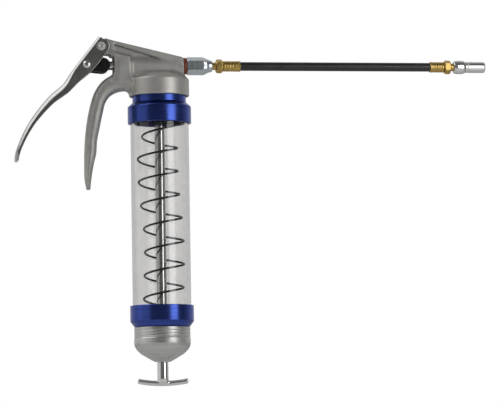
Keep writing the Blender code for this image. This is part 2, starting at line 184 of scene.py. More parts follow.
def put_in_mesh(name: str, points: Array, faces: Array) -> Piece:
    """Makes an object of points in millimetres and faces.

    Args:
        name: the piece's name.
        points: the points, one to a row.
        faces: the point numbers of each face.

    Returns:
        The new object, smooth shaded.
    """
    mesh = bpy.data.meshes.new(name)
    mesh.vertices.add(len(points))
    mesh.vertices.foreach_set("co", (points * MM).astype(np.float32).ravel())
    mesh.loops.add(faces.size)
    mesh.loops.foreach_set("vertex_index", faces.astype(np.int32).ravel())
    mesh.polygons.add(len(faces))
    starts = np.arange(0, faces.size, faces.shape[1], dtype=np.int32)
    mesh.polygons.foreach_set("loop_start", starts)
    mesh.update(calc_edges=True)
    mesh.shade_smooth()
    piece = bpy.data.objects.new(name, mesh)
    bpy.context.scene.collection.objects.link(piece)
    return piece


def closed_up(piece: Piece, outward: bool = True) -> Piece:
    """Merges doubled points at seams and poles, turns the faces outwards and evens the shading.

    Args:
        piece: the piece to finish.
        outward: whether the faces are turned to point out of the closed shape.

    Returns:
        The same piece.
    """
    shape = bmesh.new()
    shape.from_mesh(piece.data)
    bmesh.ops.remove_doubles(shape, verts=shape.verts, dist=0.002 * MM)
    bmesh.ops.dissolve_degenerate(shape, edges=shape.edges, dist=0.0005 * MM)
    if outward:
        bmesh.ops.recalc_face_normals(shape, faces=shape.faces)
    shape.to_mesh(piece.data)
    shape.free()
    piece.data.shade_smooth()
    piece.data.set_sharp_from_angle(angle=math.radians(CRISP_ANGLE))
    flats = piece.modifiers.new("even_flats", "WEIGHTED_NORMAL")
    flats.keep_sharp = True
    return piece


def softened(corners: Corners, soft: float, closed: bool) -> Array:
    """Rounds the corners of an outline.

    Each corner gives way to a curve of the second degree between the two points that lie soft
    before and after it, or 0.45 of the shorter neighbouring side where that is less.

    Args:
        corners: the outline's corners.
        soft: how far from a corner its rounding starts.
        closed: whether the outline runs back to its start.

    Returns:
        The rounded outline, one point to a row.
    """
    corner = np.asarray(corners, float)
    back, on = np.roll(corner, 1, 0) - corner, np.roll(corner, -1, 0) - corner
    back_length, on_length = (np.linalg.norm(v, axis=1, keepdims=True) for v in (back, on))
    reach = np.minimum(soft, 0.45 * np.minimum(back_length, on_length))
    start, end = corner + back / back_length * reach, corner + on / on_length * reach
    t = np.linspace(0, 1, BEND_STEPS)[None, :, None]
    curve = (1 - t) ** 2 * start[:, None] + 2 * t * (1 - t) * corner[:, None] + t**2 * end[:, None]
    if not closed:
        curve[0], curve[-1] = corner[0], corner[-1]
    return curve.reshape(-1, 2)


@dataclass(frozen=True)
class Hexagon:
    """Six flats on a stretch of a turned piece.

    Attributes:
        corner: the radius to the corners.
        low: the height at which the flats start.
        high: the height at which they end.
        turn: how far the first corner is turned, in degrees.
    """

    corner: float
    low: float
    high: float
    turn: float = 30.0

    def cut(self, radius: Array, height: Array, angle: Array) -> Array:
        """Limits the radius to the flats: corner cos 30 over the cosine of the angle to the flat's middle.

        Args:
            radius: the turned radius at each grid point.
            height: the height of each grid point.
            angle: the angle of each grid point in radians.

        Returns:
            The radius with the flats cut.
        """
        sixth = math.pi / 3
        off_middle = (angle - math.radians(self.turn)) % sixth - sixth / 2
        flat = self.corner * math.cos(sixth / 2) / np.cos(off_middle)
        there = (height >= self.low) & (height <= self.high)
        return np.where(there, np.minimum(radius, flat), radius)


def turned(
    name: str,
    spindle: Spindle,
    corners: Corners,
    soft: float = 0.3,
    closed: bool = False,
    flats: Hexagon | None = None,
    sides: int = 96,
) -> Piece:
    """Makes a turned piece.

    The point at radius r and height h of the profile, at the angle a, lies r cos a across the
    spindle, r sin a up from it and h along it.

    Args:
        name: the piece's name.
        spindle: the line it is turned about.
        corners: its profile's corners as (radius, height).
        soft: how far its corners are rounded.
        closed: whether the profile is a closed outline, as of a ring.
        flats: six flats to cut on it.
        sides: how many points go round it.

    Returns:
        The piece.
    """
    profile = softened(corners, soft, closed)
    angle = np.linspace(0, 2 * math.pi, sides, endpoint=False)[None, :]
    radius, height = np.broadcast_arrays(profile[:, :1], profile[:, 1:] + 0 * angle)
    if flats:
        radius = flats.cut(radius, height, angle)
    points = spindle.place(radius * np.cos(angle), radius * np.sin(angle), height)
    faces = grid_faces(len(profile), sides, closed, True)
    return closed_up(put_in_mesh(name, points.reshape(-1, 3), faces))


def round_section(radius: float, sides: int) -> Array:
    """Gives a circle's points.

    Args:
        radius: its radius.
        sides: how many points it has.

    Returns:
        The points, one to a row.
    """
    angle = np.linspace(0, 2 * math.pi, sides, endpoint=False)
    return radius * np.stack([np.cos(angle), np.sin(angle)], axis=1)


def carried(name: str, section: Array, centres: Array, across: Array, up: Array) -> Piece:
    """Carries a section along a path and closes both ends.

    The section's point (u, v) lies at the path's point plus u times the direction across it plus
    v times the direction up from it. At each end one more row draws the section in to its middle.

    Args:
        name: the piece's name.
        section: the section's points.
        centres: the path's points.
        across: the direction across the path at each of its points.
        up: the direction up from the path at each of its points.

    Returns:
        The piece.
    """
    rows = np.r_[0, 0:len(centres), len(centres) - 1]
    scale = np.ones(len(rows))
    scale[[0, -1]] = 0
    u, v = section[None, :, :1], section[None, :, 1:]
    reach = u * across[rows][:, None, :] + v * up[rows][:, None, :]
    points = centres[rows][:, None, :] + scale[:, None, None] * reach
    faces = grid_faces(len(rows), len(section), False, True)
    return closed_up(put_in_mesh(name, points.reshape(-1, 3), faces))


@dataclass(frozen=True)
class Coil:
    """A compression spring with a closed turn at each end.

    Attributes:
        spindle: the line it is wound about.
        low: where its wire's middle starts along the line.
        high: where it ends.
        wire: its wire's radius.
        pitch: the pitch of its open turns.
        closed_pitch: the pitch of the closed turn at each end.
    """

    spindle: Spindle
    low: float
    high: float
    wire: float
    pitch: float
    closed_pitch: float

    def wound(self, steps: int) -> tuple[Array, Array]:
        """Gives the turn and the height of points along the wire.

        Args:
            steps: how many points there are.

        Returns:
            The turns counted from the low end, and the heights.
        """
        low, high, flat = self.low, self.high, self.closed_pitch
        turns = (high - low - 2 * flat) / self.pitch
        turn = np.linspace(0, turns + 2, steps)
        height = np.interp(turn, [0, 1, 1 + turns, 2 + turns], [low, low + flat, high - flat, high])
        return turn, height

    def build(
        self, name: str, angle: Array, height: Array, radius: Array, lean: Array, sides: int
    ) -> Piece:
        """Makes the spring: a circle carried along a helix.

        The wire's middle lies at the radius and the angle about the spindle, at its height, and
        moved across by the lean.

        Args:
            name: the piece's name.
            angle: the angle at each point along the wire.
            height: its height.
            radius: the winding's radius there.
            lean: how far the winding leans across there.
            sides: how many points the wire has round it.

        Returns:
            The spring.
        """
        nowhere = 0 * angle
        outward = self.spindle.place(np.cos(angle), np.sin(angle), nowhere)
        outward -= np.array(self.spindle.through)
        centres = self.spindle.place(radius * np.cos(angle) + lean, radius * np.sin(angle), height)
        tangent = np.gradient(centres, axis=0)
        tangent /= np.linalg.norm(tangent, axis=1, keepdims=True)
        upward = np.cross(tangent, outward)
        return carried(name, round_section(self.wire, sides), centres, outward, upward)


def curve_through(corners: Corners, at: Array) -> Array:
    """Gives points on a smooth curve through some others.

    Between two points the curve is of the third degree (Hermite), and its slope at each point is
    the mean slope of its neighbours over the distance along the straight lines between them.

    Args:
        corners: the points the curve goes through.
        at: the distances along it, counted along the straight lines.

    Returns:
        The curve's points, one to a row.
    """
    corner = np.asarray(corners, float)
    step = np.linalg.norm(np.diff(corner, axis=0), axis=1)
    knot = np.r_[0, np.cumsum(step)]
    slope = np.gradient(corner, knot, axis=0)
    i = np.clip(np.searchsorted(knot, at, side="right") - 1, 0, len(step) - 1)
    t, span = ((at - knot[i]) / step[i])[:, None], step[i][:, None]
    here, there = corner[i], corner[i + 1]
    blend = t * t * (3 - 2 * t)
    lean = t * (1 - t) ** 2 * slope[i] - t * t * (1 - t) * slope[i + 1]
    return here + blend * (there - here) + span * lean


def length_of(corners: Corners) -> float:
    """Gives the length of the straight lines through the corners."""
    return float(np.linalg.norm(np.diff(np.asarray(corners), axis=0), axis=1).sum())


def smooth_line(corners: Corners, count: int) -> Array:
    """Gives count points on the smooth curve through the corners."""
    return curve_through(corners, np.linspace(0, length_of(corners), count))


def arc(centre: tuple[float, float], radius: float, start: float, end: float, count: int) -> Array:
    """Gives count points of an arc, with angles in degrees from the first direction to the second."""
    angle = np.radians(np.linspace(start, end, count))
    return np.array(centre) + radius * np.stack([np.cos(angle), np.sin(angle)], axis=1)


def plate(name: str, outline: Array, half: float, y: float, edge: float) -> Piece:
    """Makes a flat plate with rounded edges.

    A row of points is the outline drawn in by edge (1 - sin b) at the height half - edge + edge
    cos b, for b from 0 to a quarter turn, and the same again below, and a last row on each side
    is the outline's middle.

    Args:
        name: the piece's name.
        outline: its outline in X and Z.
        half: half its thickness.
        y: where its middle lies in Y.
        edge: the radius of its edges.

    Returns:
        The piece.
    """
    tangent = np.roll(outline, -1, 0) - np.roll(outline, 1, 0)
    tangent /= np.linalg.norm(tangent, axis=1, keepdims=True)
    outward = np.stack([tangent[:, 1], -tangent[:, 0]], axis=1)
    middle = outline.mean(0)
    outward *= np.sign((outward * (outline - middle)).sum())
    quarter = np.linspace(0, math.pi / 2, 5)
    inset = np.r_[edge * (1 - np.sin(quarter)), edge * (1 - np.sin(quarter[::-1]))]
    rise = half - edge + edge * np.cos(quarter)
    height = np.r_[rise, -rise[::-1]]
    flat = outline[None] - inset[:, None, None] * outward[None]
    ends = np.broadcast_to(middle, (1, *outline.shape))
    flat = np.concatenate([ends, flat, ends])
    height = np.r_[half, height, -half][:, None] + 0 * flat[..., 0]
    points = np.stack([flat[..., 0], y + height, flat[..., 1]], axis=-1)
    faces = grid_faces(len(flat), len(outline), False, True)
    return closed_up(put_in_mesh(name, points.reshape(-1, 3), faces))


# ---------------------------------------------------------------- solids with fillets


def joined(a: Array, b: Array, fillet: float) -> Array:
    """Joins two solids with a fillet.

    The nearer distance is taken, less fillet h (1 - h), where h goes from 0 to 1 as the one
    distance passes the other within the fillet.

    Args:
        a: distances to the first solid, negative inside.
        b: distances to the second solid.
        fillet: how wide the fillet is.

    Returns:
        Distances to the joined solid.
    """
    h = np.clip(0.5 + 0.5 * (b - a) / fillet, 0, 1)
    return b + (a - b) * h - fillet * h * (1 - h)


def kept(a: Array, b: Array, soft: float) -> Array:
    """Keeps what two solids share, with its edges rounded by soft."""
    return -joined(-a, -b, soft)


def removed(a: Array, cutter: Array, soft: float) -> Array:
    """Cuts the second solid out of the first, with the edges of the cut rounded by soft."""
    return -joined(-a, cutter, soft)


def outline_distance(x: Array, z: Array, outline: Array) -> Array:
    """Measures to a closed outline: the least distance to any of its sides, negative inside.

    Args:
        x: the points' X.
        z: the points' Z.
        outline: the outline's corners in X and Z.

    Returns:
        The distances.
    """
    start, side = outline, np.roll(outline, -1, 0) - outline
    px, pz = x[..., None] - start[:, 0], z[..., None] - start[:, 1]
    share = np.clip((px * side[:, 0] + pz * side[:, 1]) / (side**2).sum(1), 0, 1)
    off = (px - share * side[:, 0]) ** 2 + (pz - share * side[:, 1]) ** 2
    crossed = (pz < 0) != (pz - side[:, 1] < 0)
    rise = np.where(side[:, 1] == 0, 1, side[:, 1])
    inside = (crossed & (px < side[:, 0] * pz / rise)).sum(-1) % 2
    return np.sqrt(off.min(-1)) * (1 - 2 * inside)


def box_distance(x: Array, y: Array, z: Array, low: Point, high: Point) -> Array:
    """Measures to a box between two corners, negative inside.

    Args:
        x: the points' X.
        y: the points' Y.
        z: the points' Z.
        low: the box's lowest corner.
        high: its highest corner.

    Returns:
        The distances.
    """
    off = [abs(v - (a + b) / 2) - (b - a) / 2 for v, a, b in zip((x, y, z), low, high)]
    outside = np.sqrt(sum(np.maximum(v, 0) ** 2 for v in off))
    return outside + np.minimum(np.maximum(np.maximum(off[0], off[1]), off[2]), 0)


def filleted_solid(name: str, distance: Distance, low: Point, high: Point, cell: float) -> Piece:
    """Makes the skin of a solid given by its distance.

    Space is cut into cells. Each cell with corners both inside and outside holds one point, which
    starts at the cell's middle and moves down the distance's slope on to the skin, and each edge
    between a corner inside and one outside gives the face through the four cells round it.

    Args:
        name: the piece's name.
        distance: gives the distance at points x, y and z, negative inside.
        low: a corner below the solid.
        high: a corner above it.
        cell: the cells' size.

    Returns:
        The piece.
    """
    axes = [np.arange(a, b + cell, cell) for a, b in zip(low, high)]
    shape = tuple(len(a) for a in axes)
    x, y, z = np.ix_(*axes)
    inside = np.broadcast_to(distance(x, y, z) < 0, shape)
    halves = (slice(0, -1), slice(1, None))
    count = sum(inside[i, j, k].astype(np.int8) for i in halves for j in halves for k in halves)
    mixed = (count > 0) & (count < 8)
    number = np.full(mixed.shape, -1)
    number[mixed] = np.arange(mixed.sum())
    middle = np.stack([a[i] + cell / 2 for a, i in zip(axes, np.nonzero(mixed))], axis=1)
    points = middle.copy()
    for _ in range(4):
        points -= step_to_skin(points, distance)
        points = np.clip(points, middle - 0.7 * cell, middle + 0.7 * cell)
    faces = [crossing_faces(inside, number, axis) for axis in range(3)]
    return put_in_mesh(name, points, np.concatenate(faces))


def step_to_skin(points: Array, distance: Distance) -> Array:
    """Gives the step to the skin: distance times slope over slope squared, from small differences.

    Args:
        points: the points to move.
        distance: gives the distance at points x, y and z.

    Returns:
        The step of each point.
    """
    small = 0.02
    here = distance(*points.T)
    slope = [distance(*(points + small * unit).T) - here for unit in np.eye(3)]
    slope = np.stack(slope, axis=1) / small
    return (here / np.maximum((slope**2).sum(1), 0.05))[:, None] * slope


def crossing_faces(inside: Array, number: Array, axis: int) -> Array:
    """Gives the faces across the grid's edges that run along one axis.

    Args:
        inside: which grid corners are inside.
        number: the point number of each cell.
        axis: the axis, 0 to 2.

    Returns:
        The point numbers of each face, turned so that it points outwards.
    """
    grid, cells = np.moveaxis(inside, axis, 0), np.moveaxis(number, axis, 0)
    first, second = grid[:-1, 1:-1, 1:-1], grid[1:, 1:-1, 1:-1]
    i, j, k = np.nonzero(first != second)
    round_edge = (cells[i, j, k], cells[i, j + 1, k], cells[i, j + 1, k + 1], cells[i, j, k + 1])
    face = np.stack(round_edge, axis=1)
    turn = first[i, j, k] if axis != 1 else ~first[i, j, k]
    return np.where(turn[:, None], face, face[:, ::-1])


# ---------------------------------------------------------------- shader building


def feed(tree: Tree, node: Node, inputs: dict) -> None:
    """Links a node's inputs or sets them.

    Args:
        tree: the tree it is in.
        node: the node.
        inputs: sockets to link or values to set, by input name or number.
    """
    for key, value in inputs.items():
        if isinstance(value, Socket):
            tree.links.new(value, node.inputs[key])
        else:
            node.inputs[key].default_value = value


def put(tree: Tree, kind: str, inputs: dict | None = None, **settings: object) -> Node:
    """Adds a shader node.

    Args:
        tree: the tree it goes into.
        kind: the node's type, without its first part.
        inputs: sockets to link or values to set, by input name or number.
        settings: the node's own settings.

    Returns:
        The node.
    """
    node = tree.nodes.new("ShaderNode" + kind)
    for key, value in settings.items():
        setattr(node, key, value)
    feed(tree, node, inputs or {})
    return node


def maths(tree: Tree, operation: str, *values: object) -> Socket:
    """Adds a Math node on the values, and gives its output."""
    return put(tree, "Math", dict(enumerate(values)), operation=operation).outputs[0]


def squared(tree: Tree, value: Socket) -> Socket:
    """Multiplies a value by itself."""
    return maths(tree, "MULTIPLY", value, value)


def ramp(tree: Tree, value: Socket, start: float, end: float, low: float = 0, high: float = 1) -> Socket:
    """Turns a value from start to end into one from low to high, kept within them."""
    inputs = {0: value, 1: start, 2: end, 3: low, 4: high}
    return put(tree, "MapRange", inputs, interpolation_type="SMOOTHSTEP").outputs[0]


def between(tree: Tree, share: object, a: object, b: object) -> Socket:
    """Mixes two colours by a share, and gives the result."""
    return put(tree, "Mix", {0: share, 6: a, 7: b}, data_type="RGBA").outputs[2]


def full(colour: Colour) -> tuple[float, float, float, float]:
    """Adds a full alpha to a colour."""
    return (*colour, 1.0)


def shaded(tree: Tree, value: Socket, spread: Span, dark: Colour, light: Colour) -> Socket:
    """Goes from a dark to a light colour as a value goes through a spread."""
    return between(tree, ramp(tree, value, *spread), full(dark), full(light))


def new_group(name: str, inputs: dict[str, object], outputs: list[str]) -> tuple[Tree, Node, Node]:
    """Starts a shared node group.

    Args:
        name: the group's name.
        inputs: each input's name with its first value, a number or three of them.
        outputs: the outputs' names, each a number.

    Returns:
        The group, its input node and its output node.
    """
    tree = bpy.data.node_groups.new(name, "ShaderNodeTree")
    for key, value in inputs.items():
        kind = "NodeSocketVector" if isinstance(value, tuple) else "NodeSocketFloat"
        socket = tree.interface.new_socket(key, in_out="INPUT", socket_type=kind)
        socket.default_value = value
    for key in outputs:
        tree.interface.new_socket(key, in_out="OUTPUT", socket_type="NodeSocketFloat")
    return tree, tree.nodes.new("NodeGroupInput"), tree.nodes.new("NodeGroupOutput")


def noise(tree: Tree, vector: object, scale: object, detail: float = 2.0, rough: float = 0.5) -> Socket:
    """Adds a Noise Texture, and gives its value."""
    inputs = {"Vector": vector, "Scale": scale, "Detail": detail, "Roughness": rough}
    return put(tree, "TexNoise", inputs).outputs[0]


def make_cast_grain() -> Tree:
    """Builds the group for the skin of a casting: a fine grain, a soft mottle and a few pits.

    Returns:
        The group.
    """
    start = {"Vector": (0.0, 0.0, 0.0), "Grain": 1400.0, "Mottle": 90.0}
    tree, given, result = new_group("cast_grain", start, ["Shade", "Height"])
    vector, fine, broad = (given.outputs[key] for key in start)
    grain = noise(tree, vector, fine, 3.0)
    mottle = noise(tree, vector, broad, 4.0, 0.6)
    pits = put(tree, "TexVoronoi", {"Vector": vector, "Scale": maths(tree, "MULTIPLY", fine, 0.28)})
    pit = ramp(tree, pits.outputs[0], 0.12, 0.3)
    shade = maths(tree, "MULTIPLY_ADD", grain, 0.4, maths(tree, "MULTIPLY", mottle, 0.6))
    feed(tree, result, {"Shade": shade, "Height": maths(tree, "MULTIPLY_ADD", pit, 0.35, grain)})
    return tree


def make_turned_lines() -> Tree:
    """Builds the group for the marks of a lathe tool.

    The marks depend on one number only, the distance along the axis plus the distance from it, so
    that they ring the sides of a turned piece and circle on its faces.

    Returns:
        The group.
    """
    start = {"Vector": (0.0, 0.0, 0.0), "Axis": (0.0, 0.0, 1.0), "Through": (0.0, 0.0, 0.0), "Lines": 1.0}
    tree, given, result = new_group("turned_lines", start, ["Shade", "Height"])
    vector, axis, through, lines = (given.outputs[key] for key in start)
    off = put(tree, "VectorMath", {0: vector, 1: through}, operation="SUBTRACT").outputs[0]
    along = put(tree, "VectorMath", {0: off, 1: axis}, operation="DOT_PRODUCT").outputs["Value"]
    length = put(tree, "VectorMath", {0: off}, operation="LENGTH").outputs["Value"]
    across = maths(tree, "SUBTRACT", squared(tree, length), squared(tree, along))
    radius = maths(tree, "SQRT", maths(tree, "MAXIMUM", across, 0.0))
    place = maths(tree, "MULTIPLY", maths(tree, "ADD", along, radius), lines)
    fine = put(tree, "TexNoise", {"W": place, "Scale": 2600.0, "Detail": 2.0}, noise_dimensions="1D")
    broad = put(tree, "TexNoise", {"W": place, "Scale": 330.0, "Detail": 3.0}, noise_dimensions="1D")
    fine, broad = fine.outputs[0], broad.outputs[0]
    shade = maths(tree, "MULTIPLY_ADD", fine, 0.5, maths(tree, "MULTIPLY", broad, 0.5))
    feed(tree, result, {"Shade": shade, "Height": fine})
    return tree


def make_wear_and_shade() -> Tree:
    """Builds the group for wear and painted shade: smudges of oil, edges rubbed bright, and painted shade
    that darkens concave corners and creases.

    Returns:
        The group.
    """
    start = {"Vector": (0.0, 0.0, 0.0), "Smudge": 60.0, "Rub": 0.5}
    tree, given, result = new_group("handling", start, ["Smudge", "Edge", "PaintedShade"])
    vector, size, rub = (given.outputs[key] for key in start)
    broad = noise(tree, vector, size, 5.0, 0.6)
    fine = noise(tree, vector, maths(tree, "MULTIPLY", size, 9.0), 3.0)
    point = put(tree, "NewGeometry").outputs["Pointiness"]
    broken = maths(tree, "MULTIPLY", ramp(tree, point, 0.53, 0.62), ramp(tree, fine, 0.35, 0.6))
    feed(tree, result, {
        "Smudge": ramp(tree, broad, 0.35, 0.68),
        "Edge": maths(tree, "MULTIPLY", broken, rub),
        # painted shade: 1 where the surface is concave, to darken corners and creases as if shadowed
        "PaintedShade": ramp(tree, point, 0.42, 0.492, 1, 0),
    })
    return tree


class Effect(Enum):
    """The shared node groups, each with the function that builds it."""

    CAST_GRAIN = ("cast_grain", make_cast_grain)
    TURNED_LINES = ("turned_lines", make_turned_lines)
    HANDLING = ("handling", make_wear_and_shade)

    def place(self, tree: Tree, inputs: dict) -> Node:
        """Places the group in a tree, after building it the first time.

        Args:
            tree: the material's tree.
            inputs: sockets or values for its inputs.

        Returns:
            The group's node.
        """
        name, make = self.value
        group = bpy.data.node_groups.get(name) or make()
        node = tree.nodes.new("ShaderNodeGroup")
        node.node_tree = group
        feed(tree, node, inputs)
        return node


GRAIN_SPREAD = (0.35, 0.65)
RING_SPREAD = (0.3, 0.7)


@dataclass(frozen=True)
class Finish:
    """What every finish holds.

    Attributes:
        slot: the record's slot that the finish belongs to.
        light: its colour where it is lighter.
        dark: its colour where it is darker.
        roughness: its mean roughness.
        metallic: how far it is a metal.
    """

    slot: str
    light: Colour
    dark: Colour
    roughness: float = 0.4
    metallic: float = 1.0

    @cache
    def material(self, spindle: Spindle = BARREL_LINE) -> bpy.types.Material:
        """Gives the finish as a material, made once for each way a piece lies.

        Args:
            spindle: the line the piece was turned about.

        Returns:
            The material.
        """
        made = bpy.data.materials.new(f"{self.slot}_{spindle.axis.name.lower()}")
        made.use_nodes = True
        tree = made.node_tree
        shader = tree.nodes["Principled BSDF"]
        shader.inputs["Metallic"].default_value = self.metallic
        shader.inputs["Roughness"].default_value = self.roughness
        self.dress(tree, shader, put(tree, "TexCoord").outputs["Object"], spindle)
        return made

    def dress(self, tree: Tree, shader: Node, place: Socket, spindle: Spindle) -> None:
        """Links the finish's pattern to the shader; each kind of finish has its own."""
        raise NotImplementedError


def bump(tree: Tree, shader: Node, height: Socket, depth: float, strength: float = 1.0) -> None:
    """Gives a shader a relief.

    Args:
        tree: the material's tree.
        shader: the shader.
        height: the relief, from 0 to 1.
        depth: how deep it is, in millimetres.
        strength: how much of it shows.
    """
    inputs = {"Height": height, "Distance": depth * MM, "Strength": strength}
    tree.links.new(put(tree, "Bump", inputs).outputs[0], shader.inputs["Normal"])


@dataclass(frozen=True)
class TurnedMetal(Finish):
    """A turned metal: tool marks in rings, smudges and rubbed edges.

    Attributes:
        marks: how deep the tool marks are, in millimetres.
        lines: how closely they lie, as a share of the usual.
        rubbed: the colour of rubbed edges.
        rub: how far edges are rubbed.
        smudge: how much rougher it is where it is smudged.
    """

    marks: float = 0.004
    lines: float = 1.0
    rubbed: Colour = (0.8, 0.8, 0.8)
    rub: float = 0.4
    smudge: float = 0.12

    def dress(self, tree: Tree, shader: Node, place: Socket, spindle: Spindle) -> None:
        """Links the rings, smudges and edges to the shader.

        Args:
            tree: the material's tree.
            shader: its shader.
            place: the place on the piece.
            spindle: the line it was turned about.
        """
        through = tuple(v * MM for v in spindle.through)
        rings = Effect.TURNED_LINES.place(tree, {
            "Vector": place, "Axis": spindle.axis.value[2], "Through": through, "Lines": self.lines,
        })
        wear_and_shade = Effect.HANDLING.place(tree, {"Vector": place, "Rub": self.rub})
        colour = shaded(tree, rings.outputs["Shade"], RING_SPREAD, self.dark, self.light)
        colour = between(tree, wear_and_shade.outputs["Edge"], colour, full(self.rubbed))
        rough = self.roughness - self.smudge / 2
        for pattern in (wear_and_shade.outputs["Smudge"], rings.outputs["Shade"]):
            rough = maths(tree, "MULTIPLY_ADD", pattern, self.smudge, rough)
        feed(tree, shader, {"Base Color": colour, "Roughness": rough})
        bump(tree, shader, rings.outputs["Height"], self.marks)


@dataclass(frozen=True)
class CastMetal(Finish):
    """A die-casting whose skirt was turned afterwards.

    Attributes:
        turned_light: the skirt's lighter colour.
        turned_high: where the turned skirt ends.
        turned_from: the radius past which it was turned.
        turned_wide: how far out from there the turning shows.
        seam: half the width of the line where the die's halves met.
    """

    turned_light: Colour = (0.56, 0.55, 0.52)
    turned_high: float = 144.6
    turned_from: float = 31.6
    turned_wide: float = 1.0
    seam: float = 0.25

    def skirt(self, tree: Tree, radius: Socket, height: Socket) -> Socket:
        """Tells the turned skirt from the cast rest.

        Args:
            tree: the material's tree.
            radius: the distance from the barrel's line.
            height: the height.

        Returns:
            1 on the skirt and 0 elsewhere.
        """
        start, end, top = self.turned_from, self.turned_from + self.turned_wide, self.turned_high
        past = ramp(tree, radius, (start - 0.2) * MM, start * MM)
        within = ramp(tree, radius, end * MM, (end + 0.4) * MM, 1, 0)
        under = ramp(tree, height, top * MM, (top + 0.15) * MM, 1, 0)
        return maths(tree, "MULTIPLY", maths(tree, "MULTIPLY", past, within), under)

    def dress(self, tree: Tree, shader: Node, place: Socket, spindle: Spindle) -> None:
        """Links the grain, the die's seam, the turned skirt, the wear and the painted shade in its creases
        to the shader.

        Args:
            tree: the material's tree.
            shader: its shader.
            place: the place on the piece.
            spindle: the line the skirt was turned about.
        """
        along = spindle.axis.value[2]
        grain = Effect.CAST_GRAIN.place(tree, {"Vector": place}).outputs
        rings = Effect.TURNED_LINES.place(tree, {"Vector": place, "Axis": along, "Lines": 0.8}).outputs
        wear_and_shade = Effect.HANDLING.place(tree, {"Vector": place, "Rub": 0.2}).outputs
        x, y, z = put(tree, "SeparateXYZ", {0: place}).outputs
        radius = maths(tree, "SQRT", maths(tree, "ADD", squared(tree, x), squared(tree, y)))
        skirt = self.skirt(tree, radius, z)
        cast = shaded(tree, grain["Shade"], GRAIN_SPREAD, self.dark, self.light)
        ring = shaded(tree, rings["Shade"], RING_SPREAD, self.light, self.turned_light)
        colour = between(tree, skirt, cast, ring)
        colour = between(tree, wear_and_shade["Edge"], colour, full(self.turned_light))
        # painted shade: concave corners and creases are darkened in the colour, as if shadowed
        crease_shade = tuple(0.22 * v for v in self.dark)
        colour = between(tree, maths(tree, "MULTIPLY", wear_and_shade["PaintedShade"], 0.85), colour, full(crease_shade))
        rough = maths(tree, "MULTIPLY_ADD", wear_and_shade["Smudge"], -0.08, self.roughness + 0.03)
        rough = maths(tree, "MULTIPLY_ADD", skirt, -0.06, rough)
        feed(tree, shader, {"Base Color": colour, "Roughness": rough})
        seam = ramp(tree, maths(tree, "ABSOLUTE", y), 0.0, self.seam * MM, 1, 0)
        cast_height = maths(tree, "MULTIPLY_ADD", seam, 4.0, grain["Height"])
        parts = {0: skirt, 2: cast_height, 3: maths(tree, "MULTIPLY", rings["Height"], 0.35)}
        bump(tree, shader, put(tree, "Mix", parts).outputs[0], 0.02)


@dataclass(frozen=True)
class PlatedSheet(Finish):
    """Pressed and plated sheet, bright where its bends are rubbed, with a painted highlight along its cut
    rim.

    Attributes:
        rim: the colour of the cut rim, partly bare metal and partly a painted highlight of the edge
            catching the light.
        grain: how fine the rolled grain is.
    """

    rim: Colour = (0.8, 0.79, 0.76)
    grain: float = 420.0

    def dress(self, tree: Tree, shader: Node, place: Socket, spindle: Spindle) -> None:
        """Links the rolled grain, the smudges, the rubbed edges and the painted highlight on the rim to the
        shader.

        Args:
            tree: the material's tree.
            shader: its shader.
            place: the place on the piece.
            spindle: not needed, because the grain has no line.
        """
        fineness = {"Grain": self.grain * 3, "Mottle": self.grain / 3}
        grain = Effect.CAST_GRAIN.place(tree, {"Vector": place, **fineness})
        wear_and_shade = Effect.HANDLING.place(tree, {"Vector": place, "Smudge": 45.0, "Rub": 0.8})
        rim = put(tree, "Attribute", attribute_name="rim").outputs["Fac"]
        colour = shaded(tree, grain.outputs["Shade"], GRAIN_SPREAD, self.dark, self.light)
        # painted highlight: the cut rim is lightened in the colour as if it caught the light (partly bare
        # metal), joined by the rubbed edges
        bright = maths(tree, "MAXIMUM", wear_and_shade.outputs["Edge"], ramp(tree, rim, 0.5, 0.75))
        colour = between(tree, bright, colour, full(self.rim))
        rough = maths(tree, "MULTIPLY_ADD", wear_and_shade.outputs["Smudge"], 0.1, self.roughness - 0.05)
        feed(tree, shader, {"Base Color": colour, "Roughness": rough})
        bump(tree, shader, grain.outputs["Height"], 0.008)


@dataclass(frozen=True)
class Rubber(Finish):
    """Black rubber: dull and faintly grained, with a wrapped pattern on the hose.

    Attributes:
        wrap: how many millimetres one turn of the wrapping takes, or 0 for none.
        relief: how deep its grain or its wrapping's marks are, in millimetres.
    """

    wrap: float = 0.0
    relief: float = 0.02

    def dress(self, tree: Tree, shader: Node, place: Socket, spindle: Spindle) -> None:
        """Links the grain and the wrapping's marks to the shader.

        Args:
            tree: the material's tree.
            shader: its shader.
            place: the place on the piece.
            spindle: the line along the hose.
        """
        grain = Effect.CAST_GRAIN.place(tree, {"Vector": place, "Grain": 2200.0, "Mottle": 120.0})
        wear_and_shade = Effect.HANDLING.place(tree, {"Vector": place, "Smudge": 35.0, "Rub": 0.0})
        shade = ramp(tree, grain.outputs["Shade"], *GRAIN_SPREAD)
        dusty = maths(tree, "MULTIPLY", shade, wear_and_shade.outputs["Smudge"])
        colour = between(tree, dusty, full(self.dark), full(self.light))
        rough = maths(tree, "MULTIPLY_ADD", wear_and_shade.outputs["Smudge"], 0.14, self.roughness - 0.07)
        feed(tree, shader, {"Base Color": colour, "Roughness": rough})
        height = grain.outputs["Height"]
        if self.wrap:
            x, y, z = put(tree, "SeparateXYZ", {0: place}).outputs
            angle = maths(tree, "ARCTAN2", maths(tree, "SUBTRACT", z, spindle.through[2] * MM), y)
            turn = maths(tree, "DIVIDE", angle, 2 * math.pi)
            wound = maths(tree, "MULTIPLY_ADD", x, 1 / (self.wrap * MM), turn)
            ridge = maths(tree, "PINGPONG", maths(tree, "MULTIPLY", wound, 3.0), 0.5)
            ridge = maths(tree, "MULTIPLY", ramp(tree, ridge, 0.0, 0.22), 2.5)
            height = maths(tree, "ADD", maths(tree, "MULTIPLY", height, 0.5), ridge)
        bump(tree, shader, height, self.relief)


